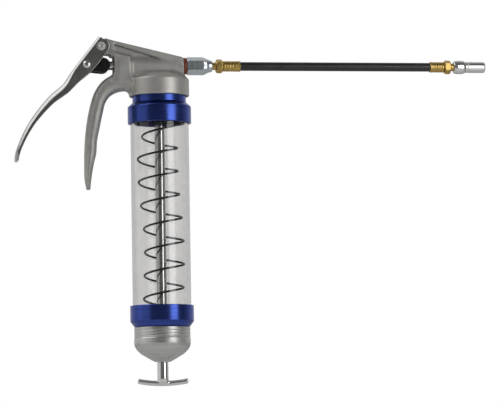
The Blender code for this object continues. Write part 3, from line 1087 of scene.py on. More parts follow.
@dataclass(frozen=True)
class ClearPlastic(Finish):
    """Clear acrylic with faint draw lines along it and a slight haze."""

    def dress(self, tree: Tree, shader: Node, place: Socket, spindle: Spindle) -> None:
        """Links the tint, the haze and the draw lines to the shader.

        Args:
            tree: the material's tree.
            shader: its shader.
            place: the place on the piece.
            spindle: not needed, because the tube was drawn upright.
        """
        shader.inputs["Transmission Weight"].default_value = 1.0
        shader.inputs["IOR"].default_value = 1.49
        stretched = put(tree, "Mapping", {"Vector": place, "Scale": (1.0, 1.0, 0.02)})
        lines = noise(tree, stretched.outputs[0], 120.0, 2.0)
        haze = noise(tree, place, 40.0, 4.0, 0.6)
        drawn = maths(tree, "MULTIPLY_ADD", haze, 0.35, maths(tree, "MULTIPLY", lines, 0.65))
        tint = shaded(tree, drawn, (0.35, 0.62), self.light, self.dark)
        rough = maths(tree, "MULTIPLY_ADD", ramp(tree, haze, 0.4, 0.75), 0.03, self.roughness)
        feed(tree, shader, {"Base Color": tint, "Roughness": rough})
        bump(tree, shader, lines, 0.012, 0.4)


CAST_ALUMINIUM = CastMetal("cast_aluminium", (0.52, 0.513, 0.485), (0.43, 0.424, 0.4), 0.56, 0.85)
SATIN_STEEL = TurnedMetal(
    "satin_steel", (0.62, 0.67, 0.7), (0.54, 0.58, 0.61), 0.2, marks=0.001, rub=0.3, smudge=0.05,
)
LEVER_STEEL = PlatedSheet("satin_steel", (0.45, 0.45, 0.44), (0.38, 0.38, 0.37), 0.23)
BLACK_STEEL = PlatedSheet(
    "black_steel", (0.028, 0.027, 0.027), (0.014, 0.014, 0.014), 0.36, 0.7, rim=(0.05, 0.05, 0.05),
)
BLUE_ANODISED = TurnedMetal(
    "blue_anodised", (0.058, 0.1, 0.4), (0.04, 0.068, 0.31), 0.22,
    marks=0.002, rubbed=(0.1, 0.16, 0.6), rub=0.6, smudge=0.06,
)
CLEAR_ACRYLIC = ClearPlastic("clear_acrylic", (0.84, 0.835, 0.83), (0.74, 0.735, 0.73), 0.015, 0.0)
SATIN_ALUMINIUM = TurnedMetal("satin_aluminium", (0.64, 0.64, 0.63), (0.53, 0.53, 0.52), 0.32, marks=0.003)
BRIGHT_CHROME = TurnedMetal(
    "bright_chrome", (0.82, 0.82, 0.81), (0.73, 0.73, 0.725), 0.09, marks=0.001, smudge=0.07,
)
SCREW_ZINC = TurnedMetal(
    "bright_chrome", (0.92, 0.92, 0.9), (0.82, 0.82, 0.8), 0.36, marks=0.001, smudge=0.05,
)
BRASS = TurnedMetal(
    "brass", (0.62, 0.44, 0.15), (0.42, 0.28, 0.08), 0.26, marks=0.004, rubbed=(0.85, 0.66, 0.28),
)
RED_COPPER = TurnedMetal(
    "red_copper", (0.42, 0.12, 0.07), (0.26, 0.07, 0.04), 0.42, 0.7, rubbed=(0.6, 0.25, 0.15),
)
BLACK_RUBBER = Rubber("black_rubber", (0.03, 0.03, 0.03), (0.012, 0.012, 0.012), 0.5, 0.0)
HOSE_RUBBER = Rubber(
    "black_rubber", (0.03, 0.03, 0.031), (0.018, 0.018, 0.019), 0.3, 0.0, wrap=6.0,
)


def settle(piece: Piece, finish: Finish, body: str, *nodes: str, spindle: Spindle = BARREL_LINE) -> Piece:
    """Gives a finished piece its material, its body and the fixed pieces it stands for.

    Args:
        piece: the piece.
        finish: its finish.
        body: the body it moves with.
        nodes: the fixed pieces it stands for.
        spindle: the line it was turned about.

    Returns:
        The same piece.
    """
    piece.data.materials.append(finish.material(spindle))
    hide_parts(*nodes)
    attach(piece, body)
    LOG.info("%s: %d faces, %s, on %s", piece.name, len(piece.data.polygons), finish.slot, body)
    return piece


def redress(finish: Finish, spindle: Spindle, *nodes: str) -> None:
    """Gives fixed pieces that stay a finish of their own.

    Args:
        finish: the finish.
        spindle: the line they were turned about.
        nodes: the pieces' names.
    """
    for node in nodes:
        mesh = frame["nodes"][node].data
        mesh.materials.clear()
        mesh.materials.append(finish.material(spindle))
        LOG.info("%s keeps its shape, %s", node, finish.slot)


# ---------------------------------------------------------------- studio


def direction(azimuth: float, elevation: float) -> Vector:
    """Gives the direction from the object to a place round it.

    Args:
        azimuth: degrees from the front towards the hose side.
        elevation: degrees above level.

    Returns:
        A direction of length one.
    """
    a, e = math.radians(azimuth), math.radians(elevation)
    return Vector((math.sin(a) * math.cos(e), -math.cos(a) * math.cos(e), math.sin(e)))


@dataclass(frozen=True)
class Softbox:
    """A softbox that faces the object.

    Attributes:
        name: its name.
        azimuth: where it stands, in degrees from the front towards the hose side.
        elevation: degrees above level.
        away: its distance in millimetres.
        width: its width.
        height: its height.
        glow: how bright its face is; 1 is white.
    """

    name: str
    azimuth: float
    elevation: float
    away: float
    width: float
    height: float
    glow: float

    def build(self) -> None:
        """Adds the softbox, unseen by the camera itself."""
        data = bpy.data.lights.new(self.name, "AREA")
        data.shape = "RECTANGLE"
        data.size, data.size_y = self.width * MM, self.height * MM
        data.energy = self.glow * math.pi * data.size * data.size_y
        light = bpy.data.objects.new(self.name, data)
        towards = direction(self.azimuth, self.elevation)
        light.rotation_mode = "QUATERNION"
        light.location = towards * self.away * MM
        light.rotation_quaternion = (-towards).to_track_quat("-Z", "Y")
        light.visible_camera = False
        bpy.context.scene.collection.objects.link(light)


@dataclass
class Studio:
    """A white room with a softbox on the right, weaker ones on the left and a dark camera side.

    Attributes:
        azimuth: how far round the camera stands, in degrees.
        elevation: how far it looks down; below 0 it looks up.
        roll: how far it is tilted, in degrees.
        away: its distance.
        lens: its focal length in millimetres.
        aim: the point at the middle of its view.
        floor_z: the floor's height.
        floor_r: the floor's radius.
        softboxes: the softboxes.
    """

    azimuth: float = -9.0
    elevation: float = -5.0
    roll: float = -0.95
    away: float = 3200.0
    lens: float = 214.4
    aim: Point = (96.8, 0.0, 10.4)
    floor_z: float = -400.0
    floor_r: float = 4000.0
    softboxes: tuple[Softbox, ...] = (
        Softbox("key_softbox", 37.0, 12.0, 1000.0, 460.0, 760.0, 2.5),
        Softbox("fill_softbox", -78.0, 0.0, 1500.0, 1500.0, 1100.0, 0.42),
        Softbox("top_softbox", -85.0, 48.0, 1500.0, 1500.0, 1000.0, 1.6),
    )

    def build_camera(self) -> None:
        """Sets up the camera."""
        back = direction(self.azimuth, self.elevation)
        data = bpy.data.cameras.new("camera")
        data.lens = self.lens
        data.sensor_width = 36.0
        camera = bpy.data.objects.new("camera", data)
        camera.rotation_mode = "QUATERNION"
        camera.location = Vector(self.aim) * MM + back * self.away * MM
        tilt = Quaternion((0, 0, 1), math.radians(self.roll))
        camera.rotation_quaternion = (-back).to_track_quat("-Z", "Y") @ tilt
        bpy.context.scene.collection.objects.link(camera)
        bpy.context.scene.camera = camera

    def build_room(self) -> None:
        """Sets the white room: the eye sees plain white, while gloss sees a dark side at the camera."""
        world = bpy.data.worlds.new("room")
        world.use_nodes = True
        bpy.context.scene.world = world
        tree = world.node_tree
        tree.nodes.clear()
        from_front = put(tree, "SeparateXYZ", {0: put(tree, "TexCoord").outputs["Generated"]}).outputs[1]
        glow = ramp(tree, from_front, -0.3, 0.6, 0.13, 0.6)
        path = put(tree, "LightPath").outputs
        bounced = maths(tree, "ADD", path["Glossy Depth"], path["Diffuse Depth"])
        straight = maths(tree, "LESS_THAN", bounced, 0.5)
        through = maths(tree, "MULTIPLY", path["Is Transmission Ray"], straight)
        seen = maths(tree, "MAXIMUM", path["Is Camera Ray"], through)
        strength = put(tree, "Mix", {0: seen, 2: glow, 3: 1.0}).outputs[0]
        sky = put(tree, "Background", {"Color": (1, 1, 1, 1), "Strength": strength})
        out = put(tree, "OutputWorld", {"Surface": sky.outputs[0]})
        out.is_active_output = True

    def build_floor(self) -> None:
        """Lays the pale floor: a disc, where the point at radius r and angle a is r (cos a, sin a)."""
        rings, spokes = 12, 64
        radius = np.linspace(0, self.floor_r, rings)[:, None]
        angle = np.linspace(0, 2 * math.pi, spokes, endpoint=False)[None, :]
        level = np.full((rings, spokes), self.floor_z)
        points = BARREL_LINE.place(radius * np.cos(angle), radius * np.sin(angle), level)
        floor = put_in_mesh("floor", points.reshape(-1, 3), grid_faces(rings, spokes, False, True))
        closed_up(floor, outward=False)
        paper = bpy.data.materials.new("floor_paper")
        paper.use_nodes = True
        tree = paper.node_tree
        shader = tree.nodes["Principled BSDF"]
        shade = noise(tree, put(tree, "TexCoord").outputs["Object"], 6.0, 3.0)
        colour = between(tree, shade, (0.8, 0.8, 0.79, 1), (0.84, 0.84, 0.83, 1))
        tree.links.new(colour, shader.inputs["Base Color"])
        shader.inputs["Roughness"].default_value = 0.9
        floor.data.materials.append(paper)

    def build_light(self) -> None:
        """Sets up the softboxes and the room."""
        for softbox in self.softboxes:
            softbox.build()
        self.build_room()
        bpy.context.scene.view_settings.view_transform = "Standard"


# ---------------------------------------------------------------- hose line


@dataclass
class HoseLine:
    """The straight hose with its two brass ends.

    Attributes:
        start: where the hose starts along X.
        end: where it ends.
        radius: the hose's radius.
        ferrule: the ferrules' radius.
        near_ferrule: where the near ferrule starts, at its fitting, and where it ends.
        far_ferrule: the same for the far one.
        near_fitting: where the near fitting's neck starts and ends, and then its hexagon.
        far_fitting: the same for the far one.
        neck: the fittings' neck radius.
        corner: the radius to the corners of their hexagons.
        bore: the bore through them.
    """

    start: float = 69.4
    end: float = 313.2
    radius: float = 4.75
    ferrule: float = 5.8
    near_ferrule: Span = (69.2, 88.4)
    far_ferrule: Span = (313.2, 297.3)
    near_fitting: tuple[Span, Span] = ((53.8, 62.0), (62.0, 68.9))
    far_fitting: tuple[Span, Span] = ((326.0, 320.2), (320.2, 313.5))
    neck: float = 4.1
    corner: float = 7.55
    bore: float = 1.6

    def build_hose(self) -> Piece:
        """Makes the hose: a circle carried along its straight route.

        Returns:
            The hose.
        """
        x = np.linspace(self.start, self.end, 124)
        route = np.stack([x, 0 * x, 0 * x + PUMP_Z], axis=1)
        across = np.tile([0.0, 1.0, 0.0], (len(x), 1))
        up = np.tile([0.0, 0.0, 1.0], (len(x), 1))
        hose = carried("rubber_hose", round_section(self.radius, 48), route, across, up)
        return settle(hose, HOSE_RUBBER, "barrel", "hose", spindle=PUMP_LINE)

    def build_ferrule(self, name: str, ends: Span, node: str) -> Piece:
        """Makes a crimped ferrule, whose wall waves where the crimping tool closed on it.

        Args:
            name: the piece's name.
            ends: where it starts, at the fitting, and where it ends.
            node: the fixed piece it stands for.

        Returns:
            The ferrule.
        """
        first, last = ends
        way = 1 if last > first else -1
        big, small, inner = self.ferrule, self.ferrule - 0.4, self.radius + 0.08
        crimps = [first + way * d for d in (3.2, 6.0, 8.8, 11.6)]
        outer = [(big - 0.7, first), (big - 0.1, first + way * 0.8)]
        for x in crimps:
            outer += [(big - 0.1, x - way * 0.9), (small + 0.05, x), (big - 0.1, x + way * 0.9)]
        outer += [(big - 0.15, last - way * 1.5), (big, last - way * 1.2), (big, last - way * 0.3)]
        corners = outer + [(big - 0.3, last), (inner, last), (inner, first)]
        piece = turned(name, PUMP_LINE, corners, 0.5, closed=True)
        return settle(piece, BRASS, "barrel", node, spindle=PUMP_LINE)

    def build_fitting(self, name: str, ends: Span, hexagon: Span, node: str) -> Piece:
        """Makes a hose end: a neck and a hexagon whose corners are turned off.

        Args:
            name: the piece's name.
            ends: where the neck starts and ends.
            hexagon: where the hexagon starts, at the neck, and ends.
            node: the fixed piece it stands for.

        Returns:
            The fitting.
        """
        first, last = hexagon
        way = 1 if last > first else -1
        c = self.corner
        corners = [(self.neck, ends[0]), (self.neck, first - way * 0.6)]
        corners += [(self.neck + 0.7, first - way * 0.2), (c - 1.1, first), (c + 0.1, first + way * 1.2)]
        corners += [(c + 0.1, last - way * 1.2), (c - 1.1, last), (self.bore, last), (self.bore, ends[0])]
        flats = Hexagon(c, min(hexagon), max(hexagon))
        piece = turned(name, PUMP_LINE, corners, 0.35, closed=True, flats=flats)
        return settle(piece, BRASS, "barrel", node, spindle=PUMP_LINE)

    def build(self) -> list[Piece]:
        """Builds the whole line.

        Returns:
            The hose, and then the pieces on it.
        """
        return [
            self.build_hose(),
            self.build_ferrule("near_crimp_ferrule", self.near_ferrule, "near_ferrule"),
            self.build_fitting("near_brass_fitting", *self.near_fitting, "near_hose_fitting"),
            self.build_ferrule("far_crimp_ferrule", self.far_ferrule, "far_ferrule"),
            self.build_fitting("far_brass_fitting", *self.far_fitting, "far_hose_fitting"),
        ]


@dataclass
class Coupler:
    """The coupler that grips a grease nipple.

    Attributes:
        start: where its body starts along X.
        step: where the body meets the sleeve.
        end: its open end.
        jaw_low: where the jaws start.
        jaw_high: where they end.
        jaw_sweep: how many degrees each jaw takes up.
    """

    start: float = 323.6
    step: float = 336.1
    end: float = 358.4
    jaw_low: float = 346.9
    jaw_high: float = 357.9
    jaw_sweep: float = 98.0

    def build_body(self) -> Piece:
        """Makes the barrel-shaped body.

        Returns:
            The body.
        """
        s, e = self.start, self.step
        corners = [(4.3, s), (6.4, s), (7.1, s + 1.6), (7.4, s + 4.2), (7.4, s + 7.5), (7.1, e - 1.6)]
        corners += [(6.5, e - 0.1), (5.0, e), (1.6, e), (1.6, s + 3.4), (4.3, s + 3.4)]
        return turned("coupler_barrel", PUMP_LINE, corners, 0.8, closed=True)

    def build_sleeve(self) -> Piece:
        """Makes the sleeve over the jaws, with a relief groove and a turned-in end.

        Returns:
            The sleeve.
        """
        s, e = self.step + 0.3, self.end
        corners = [(4.7, s), (5.7, s), (6.0, s + 0.4), (6.0, s + 2.2), (5.7, s + 2.5), (5.7, s + 3.0)]
        corners += [(6.0, s + 3.3), (6.0, e - 1.4), (5.4, e), (4.7, e)]
        return turned("coupler_nose_sleeve", PUMP_LINE, corners, 0.3, closed=True)

    def build_jaw(self, index: int) -> Piece:
        """Makes a jaw: a softened section carried round a part of a circle.

        Args:
            index: which of the three it is.

        Returns:
            The jaw.
        """
        low, high, inner, outer = self.jaw_low, self.jaw_high, 3.25, 4.4
        mean, middle = (inner + outer) / 2, (low + high) / 2
        wall, half = (outer - inner) / 2, (high - low) / 2
        corners = [(-half, -wall), (half - 0.7, -wall), (half, -wall + 0.5), (half, wall), (-half, wall)]
        start = 120 * index - 49
        angle = np.radians(np.linspace(start, start + self.jaw_sweep, 24))
        up = np.stack([0 * angle, np.cos(angle), np.sin(angle)], axis=1)
        across = np.tile([1.0, 0.0, 0.0], (len(angle), 1))
        centres = np.array([middle, 0, PUMP_Z]) + mean * up
        return carried(f"nipple_jaw_{index + 1}", softened(corners, 0.25, True), centres, across, up)

    def build(self) -> list[Piece]:
        """Builds the coupler.

        Returns:
            Its pieces, with the fixed ones that stay.
        """
        body, sleeve = self.build_body(), self.build_sleeve()
        settle(body, BRIGHT_CHROME, "barrel", "coupler_body", spindle=PUMP_LINE)
        settle(sleeve, BRIGHT_CHROME, "barrel", "coupler_sleeve", spindle=PUMP_LINE)
        jaws = [self.build_jaw(index) for index in range(3)]
        for number, jaw in enumerate(jaws, 1):
            settle(jaw, BRIGHT_CHROME, "jaws", f"coupler_jaw_{number}", spindle=PUMP_LINE)
        redress(BLACK_RUBBER, PUMP_LINE, "coupler_seal")
        redress(BRIGHT_CHROME, PUMP_LINE, "coupler_spring")
        staying = [frame["nodes"][node] for node in ("coupler_seal", "coupler_spring")]
        return [body, sleeve, *jaws, *staying]


# ---------------------------------------------------------------- outlet


@dataclass
class Outlet:
    """The check valve, the sealing washer and the adaptor that the hose screws into.

    Attributes:
        face: where the washer starts.
        seat: where the adaptor seats on the washer.
        corner: the radius to the corners of the adaptor's hexagon.
        nose: the radius at the adaptor's open end.
        end: where it ends.
    """

    face: float = 26.6
    seat: float = 29.7
    corner: float = 9.8
    nose: float = 6.0
    end: float = 57.9

    def build_washer(self) -> Piece:
        """Makes the red copper washer.

        Returns:
            The washer.
        """
        low, high = self.face, self.seat
        corners = [(5.7, low), (8.6, low), (9.0, low + 0.4), (9.0, high - 0.4), (8.6, high), (5.7, high)]
        return turned("copper_washer", PUMP_LINE, corners, 0.4, closed=True)

    def build_adaptor(self) -> Piece:
        """Makes the adaptor: a long hexagon that runs out in a cone and a round nose.

        Returns:
            The adaptor.
        """
        s, c = self.seat + 0.3, self.corner
        corners = [(5.3, 20.8), (5.3, s), (8.6, s), (c + 0.1, s + 1.0), (c + 0.1, 47.8), (8.0, 51.6)]
        corners += [(6.9, 54.0), (self.nose, self.end - 0.6), (5.4, self.end), (4.4, self.end)]
        corners += [(4.4, 53.5), (2.0, 53.5), (2.0, 20.8)]
        flats = Hexagon(c, s - 0.1, 52.5)
        return turned("hexagon_adaptor", PUMP_LINE, corners, 0.45, closed=True, flats=flats)

    def build(self) -> None:
        """Builds the outlet's pieces."""
        settle(self.build_washer(), RED_COPPER, "barrel", "outlet_washer", spindle=PUMP_LINE)
        settle(self.build_adaptor(), SATIN_STEEL, "barrel", "hose_adaptor", spindle=PUMP_LINE)
        redress(BRASS, PUMP_LINE, "check_valve_seat")
        redress(BRIGHT_CHROME, PUMP_LINE, "check_valve_ball", "check_valve_spring")


# ---------------------------------------------------------------- barrel


@dataclass
class Barrel:
    """The clear tube between its two anodised collars.

    Attributes:
        tube: the tube's outer radius.
        bore: its inner radius.
        collar: the collars' radius.
        collar_bore: the bore that holds the tube.
    """

    tube: float = 31.25
    bore: float = 27.5
    collar: float = 34.0
    collar_bore: float = 31.5

    def build_tube(self) -> Piece:
        """Makes the tube with its real wall.

        Returns:
            The tube.
        """
        low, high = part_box("barrel_tube")
        z = low.z / MM, high.z / MM
        corners = [(self.tube, z[0]), (self.tube, z[1]), (self.bore, z[1]), (self.bore, z[0])]
        return turned("acrylic_tube", BARREL_LINE, corners, 0.4, closed=True, sides=160)

    def build_collar(self, name: str, heights: list[float], radii: list[float], sign: int) -> Piece:
        """Makes a collar.

        Args:
            name: the piece's name.
            heights: its foot, the edge of its slope, the slope's end and the neck's end.
            radii: the slope's end, the neck and the neck's bore.
            sign: 1 for the top collar and -1 for the bottom one.

        Returns:
            The collar.
        """
        foot, edge, slope, end = heights
        slope_r, neck, inner = radii
        shoulder = edge - 1.4
        corners = [(self.collar_bore, foot), (self.collar - 0.35, foot), (self.collar, foot + 0.5)]
        corners += [(self.collar, edge), (slope_r + 0.02, slope), (neck, slope + 0.05), (neck, end)]
        corners += [(inner, end), (inner, shoulder), (self.collar_bore, shoulder)]
        corners = [(r, sign * z) for r, z in corners]
        return turned(name, BARREL_LINE, corners, 0.6, closed=True, sides=160)

    def build(self) -> None:
        """Builds the barrel's pieces."""
        tube = settle(self.build_tube(), CLEAR_ACRYLIC, "barrel", "barrel_tube")
        tube.visible_shadow = False
        top = self.build_collar("top_blue_collar", [97.4, 115.3, 120.0, 140.8], [28.75, 28.75, 27.2], 1)
        low = self.build_collar("bottom_blue_collar", [97.6, 114.5, 120.4, 132.9], [29.5, 27.9, 26.4], -1)
        settle(top, BLUE_ANODISED, "barrel", "top_collar")
        settle(low, BLUE_ANODISED, "barrel", "bottom_collar")
        redress(BLACK_RUBBER, BARREL_LINE, "head_gasket", "top_tube_seal", "bottom_tube_seal")


# ---------------------------------------------------------------- head


@dataclass
class Head:
    """The one-piece casting: skirt, pump boss, rear block, ribbed arm and fixed grip.

    Attributes:
        skirt: the skirt's radius.
        skirt_low: its lower edge.
        skirt_bore: its bore.
        ceiling: where the bore ends.
        shoulder: where the dome over the skirt starts.
        dome_lean: the dome's outward direction, across and up.
        dome_top: the dome's flat top.
        boss_end: where the boss ends towards the hose.
        arm_half: half the arm's width.
        web_half: half the web's width.
        block_half: half the rear block's width.
        grip_half: half the grip's width.
        cell: how finely the skin is made.
        margin: how far round the casting its skin is looked for.
    """

    skirt: float = 32.3
    skirt_low: float = 126.7
    skirt_bore: float = 29.05
    ceiling: float = 143.5
    shoulder: float = 145.0
    dome_lean: Span = (0.534, 0.846)
    dome_top: float = 152.0
    boss_end: float = 26.3
    arm_half: float = 9.2
    web_half: float = 5.5
    block_half: float = 11.4
    grip_half: float = 10.0
    cell: float = 0.7
    margin: float = 1.5

    def grip_outline(self) -> Array:
        """Gives the grip's outline, smooth down its outer side and up its inner side.

        Returns:
            The outline's points in X and Z.
        """
        outer = [(-47.0, 150.0), (-52.6, 148.5), (-62.0, 142.2), (-69.3, 131.8), (-74.2, 117.5)]
        outer += [(-77.6, 102.1), (-80.4, 80.0), (-81.4, 55.0), (-80.9, 35.0), (-79.2, 26.5)]
        inner = [(-75.4, 26.5), (-73.8, 40.0), (-71.5, 53.0), (-68.4, 66.0), (-67.6, 78.0)]
        inner += [(-64.5, 93.0), (-61.0, 109.0), (-58.2, 119.5), (-53.0, 126.8), (-45.0, 131.2)]
        inner += [(-30.0, 133.0)]
        return np.vstack([smooth_line(outer, 34), smooth_line(inner, 38), [(-30.0, 150.0)]])

    def body(self, x: Array, y: Array, z: Array) -> Array:
        """Gives the distance to the skirt's dome joined to the pump boss and the rear block.

        Args:
            x: the points' X.
            y: the points' Y.
            z: the points' Z.

        Returns:
            The distances.
        """
        radius = np.hypot(x, y)
        slope = (radius - self.skirt) * self.dome_lean[0] + (z - self.shoulder) * self.dome_lean[1]
        dome = kept(kept(radius - self.skirt, slope, 1.2), z - self.dome_top, 4.0)
        dome = kept(dome, self.skirt_low - z, 0.9)
        reach = 9.2 + (25.0 - x) / 65.0
        boss = np.hypot(y, np.maximum(z - PUMP_Z, 0)) - reach
        boss = kept(boss, 146.0 - z, 1.0)
        boss = kept(kept(boss, x - self.boss_end, 1.0), -42.0 - x, 1.0)
        side = np.array([(-49.2, 141.0), (-49.2, 173.8), (-32.0, 169.4), (-32.0, 141.0)])
        block = kept(outline_distance(x, z, side), np.abs(y) - self.block_half, 2.4)
        return joined(joined(dome, boss, 4.5), block, 5.0)

    def arm(self, x: Array, y: Array, z: Array) -> Array:
        """Gives the distance to the arm: a sloping flange on a web, a post and the pivot's ear.

        Args:
            x: the points' X.
            y: the points' Y.
            z: the points' Z.

        Returns:
            The distances.
        """
        side = np.abs(y)
        flange = np.array([(-58.0, 188.2), (24.8, 168.7), (24.8, 159.6), (-50.0, 182.6), (-58.0, 184.0)])
        web = np.array([(-50.0, 184.5), (14.0, 168.0), (14.0, 158.0), (-47.0, 158.0)])
        post = np.array([(-52.4, 166.0), (-52.4, 185.0), (-49.2, 184.0), (-49.2, 166.0)])
        top = [(-58.0, 171.6), (-49.4, 171.2), (-49.4, 184.2), (-58.0, 188.2)]
        ear = np.vstack([arc(LEVER_PIVOT, 6.0, 95, 262, 14), top])
        flange = kept(outline_distance(x, z, flange), side - self.arm_half, 1.3)
        web = kept(outline_distance(x, z, web), side - self.web_half, 1.0)
        post = kept(outline_distance(x, z, post), side - (self.arm_half - 0.5), 2.2)
        ear = kept(outline_distance(x, z, ear), side - self.arm_half, 1.0)
        return joined(joined(flange, web, 0.8), joined(post, ear, 3.0), 1.6)

    def distance(self, x: Array, y: Array, z: Array) -> Array:
        """Gives the distance to the whole casting with its bores and its link pocket cut.

        Args:
            x: the points' X.
            y: the points' Y.
            z: the points' Z.

        Returns:
            The distances, negative inside.
        """
        grip = kept(outline_distance(x, z, self.grip_outline()), np.abs(y) - self.grip_half, 9.0)
        solid = joined(self.body(x, y, z), self.arm(x, y, z), 2.6)
        solid = joined(solid, grip, 6.0)
        bore = kept(np.hypot(x, y) - self.skirt_bore, z - self.ceiling, 0.6)
        pump = np.hypot(y, z - PUMP_Z)
        chamber = kept(pump - 7.4, x + 8.7, 0.5)
        plunger_bore = kept(pump - 5.1, x - 6.0, 0.5)
        outlet = kept(pump - 5.6, 5.5 - x, 0.5)
        port = kept(np.hypot(x, y) - 2.5, z - PUMP_Z, 0.5)
        pocket = box_distance(x, y, z, (-70.0, -9.6, PUMP_Z - 9.2), (-43.0, 9.6, PUMP_Z + 9.2))
        ear_bore = np.hypot(x - LEVER_PIVOT[0], z - LEVER_PIVOT[1]) - 3.3
        for cutter in (bore, port, chamber, plunger_bore, outlet, pocket, ear_bore):
            solid = removed(solid, cutter, 0.7)
        return solid

    def build(self) -> None:
        """Builds the casting."""
        low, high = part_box("head_casting")
        low = tuple(v / MM - self.margin for v in low)
        high = tuple(v / MM + self.margin for v in high)
        casting = filleted_solid("cast_head", self.distance, low, high, self.cell)
        settle(casting, CAST_ALUMINIUM, "barrel", "head_casting")


# ---------------------------------------------------------------- lever and pump


@dataclass
class Lever:
    """The squeeze lever: a pressed channel that turns into a shallow rolled handle.

    Attributes:
        half: half its width.
        wall: its sheet's thickness.
        ear: the radius of its rounded top round the pivot.
        pivot_along: how far the pivot lies from the top, along the back.
        pivot_deep: how far it lies from the back.
        washer: the gap between a flange and what is against it.
    """

    half: float = 12.0
    wall: float = 2.0
    ear: float = 8.7
    pivot_along: float = 8.7
    pivot_deep: float = 8.5
    washer: float = 0.3

    def back_line(self) -> Corners:
        """Gives the points of the back line.

        Returns:
            The points in X and Z, from the top to the tip.
        """
        line = [(-64.4, 191.7), (-80.2, 171.5), (-93.7, 153.8), (-103.1, 139.2), (-117.0, 126.7)]
        return line + [(-129.5, 112.2), (-140.2, 96.7), (-148.7, 80.0), (-154.4, 63.4), (-155.0, 57.5)]

    def depth(self, along: Array) -> Array:
        """Gives the channel's depth: an arc round the pivot at the top, then ever shallower.

        Args:
            along: distances from the top along the back.

        Returns:
            The depths.
        """
        deep_at = [
            (self.pivot_along, 17.2), (25.6, 17.4), (35.5, 16.9), (44.5, 14.9), (51.7, 13.0), (60.8, 10.6),
            (70.0, 8.8), (84.0, 7.6), (103.0, 6.4), (122.0, 5.2), (141.0, 4.2), (158.0, 3.4), (164.0, 3.0),
        ]
        rest = np.interp(along, *zip(*deep_at))
        off = np.clip(self.pivot_along - along, 0, self.ear)
        top = self.pivot_deep + np.sqrt(self.ear**2 - off**2)
        return np.where(along < self.pivot_along, top, rest)

    def section(self, along: Array, total: float) -> tuple[Array, Array]:
        """Gives the sheet's middle round the section: down a flange, round a corner and over the back.

        Args:
            along: the distance along the back of each section.
            total: the back's whole length.

        Returns:
            For each section, its points' distances from the back line and from the middle plane.
        """
        half_wall = self.wall / 2
        deep = (self.depth(along) - half_wall)[:, None]
        end = np.clip((along - (total - 9.0)) / 9.0, 0, 1)[:, None]
        half = self.half - half_wall - 4.2 * end**2.2
        handle = np.clip((along - 45.0) / 30.0, 0, 1)[:, None]
        corner = np.minimum(3.0 + 3.4 * handle, deep - 0.8)
        flange = np.linspace(0, 1, 14)[None, :]
        bend = np.linspace(0, math.pi / 2, 9)[None, 1:]
        flat = np.linspace(0, 1, 12)[None, 1:]
        deep_at = np.hstack([
            deep + (corner - deep) * flange, corner * (1 - np.sin(bend)), 0 * corner + 0 * flat,
        ])
        side_at = np.hstack([
            half + 0 * flange, half - corner + corner * np.cos(bend), (half - corner) * (1 - flat),
        ])
        crown = 0.9 * handle * (1 - (side_at / (half + 0.01)) ** 2)
        deep_at = deep_at - crown + half_wall
        return np.hstack([deep_at, deep_at[:, -2::-1]]), np.hstack([side_at, -side_at[:, -2::-1]])

    def build_channel(self) -> Piece:
        """Makes the channel.

        The sheet's middle is a function of the distance along the back and of the girth round the
        section: down one flange, round a corner, over the crowned back and the same again. Near the
        top its end is drawn in between the flanges. It then gets its wall.

        Returns:
            The lever.
        """
        total = length_of(self.back_line())
        ease = self.pivot_along * (1 - np.cos(np.linspace(0, math.pi / 2, 14)))
        along = np.r_[ease, np.linspace(self.pivot_along, total, 120)[1:]]
        line = curve_through(self.back_line(), along)
        slope = np.gradient(line, along, axis=0)
        slope /= np.linalg.norm(slope, axis=1, keepdims=True)
        inward = np.stack([-slope[:, 1], slope[:, 0]], axis=1)
        deep_at, side_at = self.section(along, total)
        hollow = 1.2 * np.sin(np.clip((deep_at - 0.5) / 7.5, 0, 1) * math.pi)
        hollow = hollow + 2.0 * np.clip(1 - deep_at / 3, 0, 1)
        hollow = hollow * np.clip(1 - along[:, None] / self.pivot_along, 0, 1) ** 2
        x = line[:, :1] + inward[:, :1] * deep_at + slope[:, :1] * hollow
        z = line[:, 1:] + inward[:, 1:] * deep_at + slope[:, 1:] * hollow
        points = np.stack([x, side_at, z], axis=-1)
        faces = grid_faces(len(along), points.shape[1], False, False)
        lever = put_in_mesh("pressed_lever", points.reshape(-1, 3), faces)
        self.mark_rim(lever, points.shape[:2])
        self.thicken(lever)
        return lever

    def mark_rim(self, lever: Piece, grid: tuple[int, int]) -> None:
        """Writes how near each point is to the sheet's cut rim, from 0 to 1, which places the rim's painted
        highlight.

        Args:
            lever: the lever's sheet.
            grid: its rows and columns.
        """
        rows, columns = grid
        near = np.zeros(grid)
        near[:, [0, columns - 1]] = 1
        near[[0, rows - 1], :] = 1
        rim = lever.data.attributes.new("rim", "FLOAT", "POINT")
        rim.data.foreach_set("value", near.ravel().astype(np.float32))

    def thicken(self, lever: Piece) -> None:
        """Gives the sheet its wall, outwards and inwards alike, and breaks its edges.

        Args:
            lever: the lever's sheet.
        """
        wall = lever.modifiers.new("wall", "SOLIDIFY")
        wall.thickness = self.wall * MM
        wall.offset = 0.0
        wall.use_even_offset = False
        edge = lever.modifiers.new("broken_edges", "BEVEL")
        edge.width = 0.35 * MM
        edge.segments = 2
        edge.limit_method = "ANGLE"
        edge.angle_limit = math.radians(55)

    def build_screw(self) -> Piece:
        """Makes the pivot screw: a button head with a hexagon socket, and a plain shank.

        Returns:
            The screw.
        """
        face = self.half + self.washer
        corners = [(0.0, face + 0.2), (2.2, face + 0.2), (2.2, face + 2.7), (2.5, face + 2.75)]
        corners += [(3.3, face + 2.4), (4.1, face + 1.7), (4.6, face + 0.8), (4.8, face), (3.0, face)]
        corners += [(3.0, -16.2), (0.0, -16.2)]
        socket = Hexagon(2.3, face + 0.1, face + 2.5, 0.0)
        return turned("pivot_screw", cross_line(LEVER_PIVOT), corners, 0.15, flats=socket)

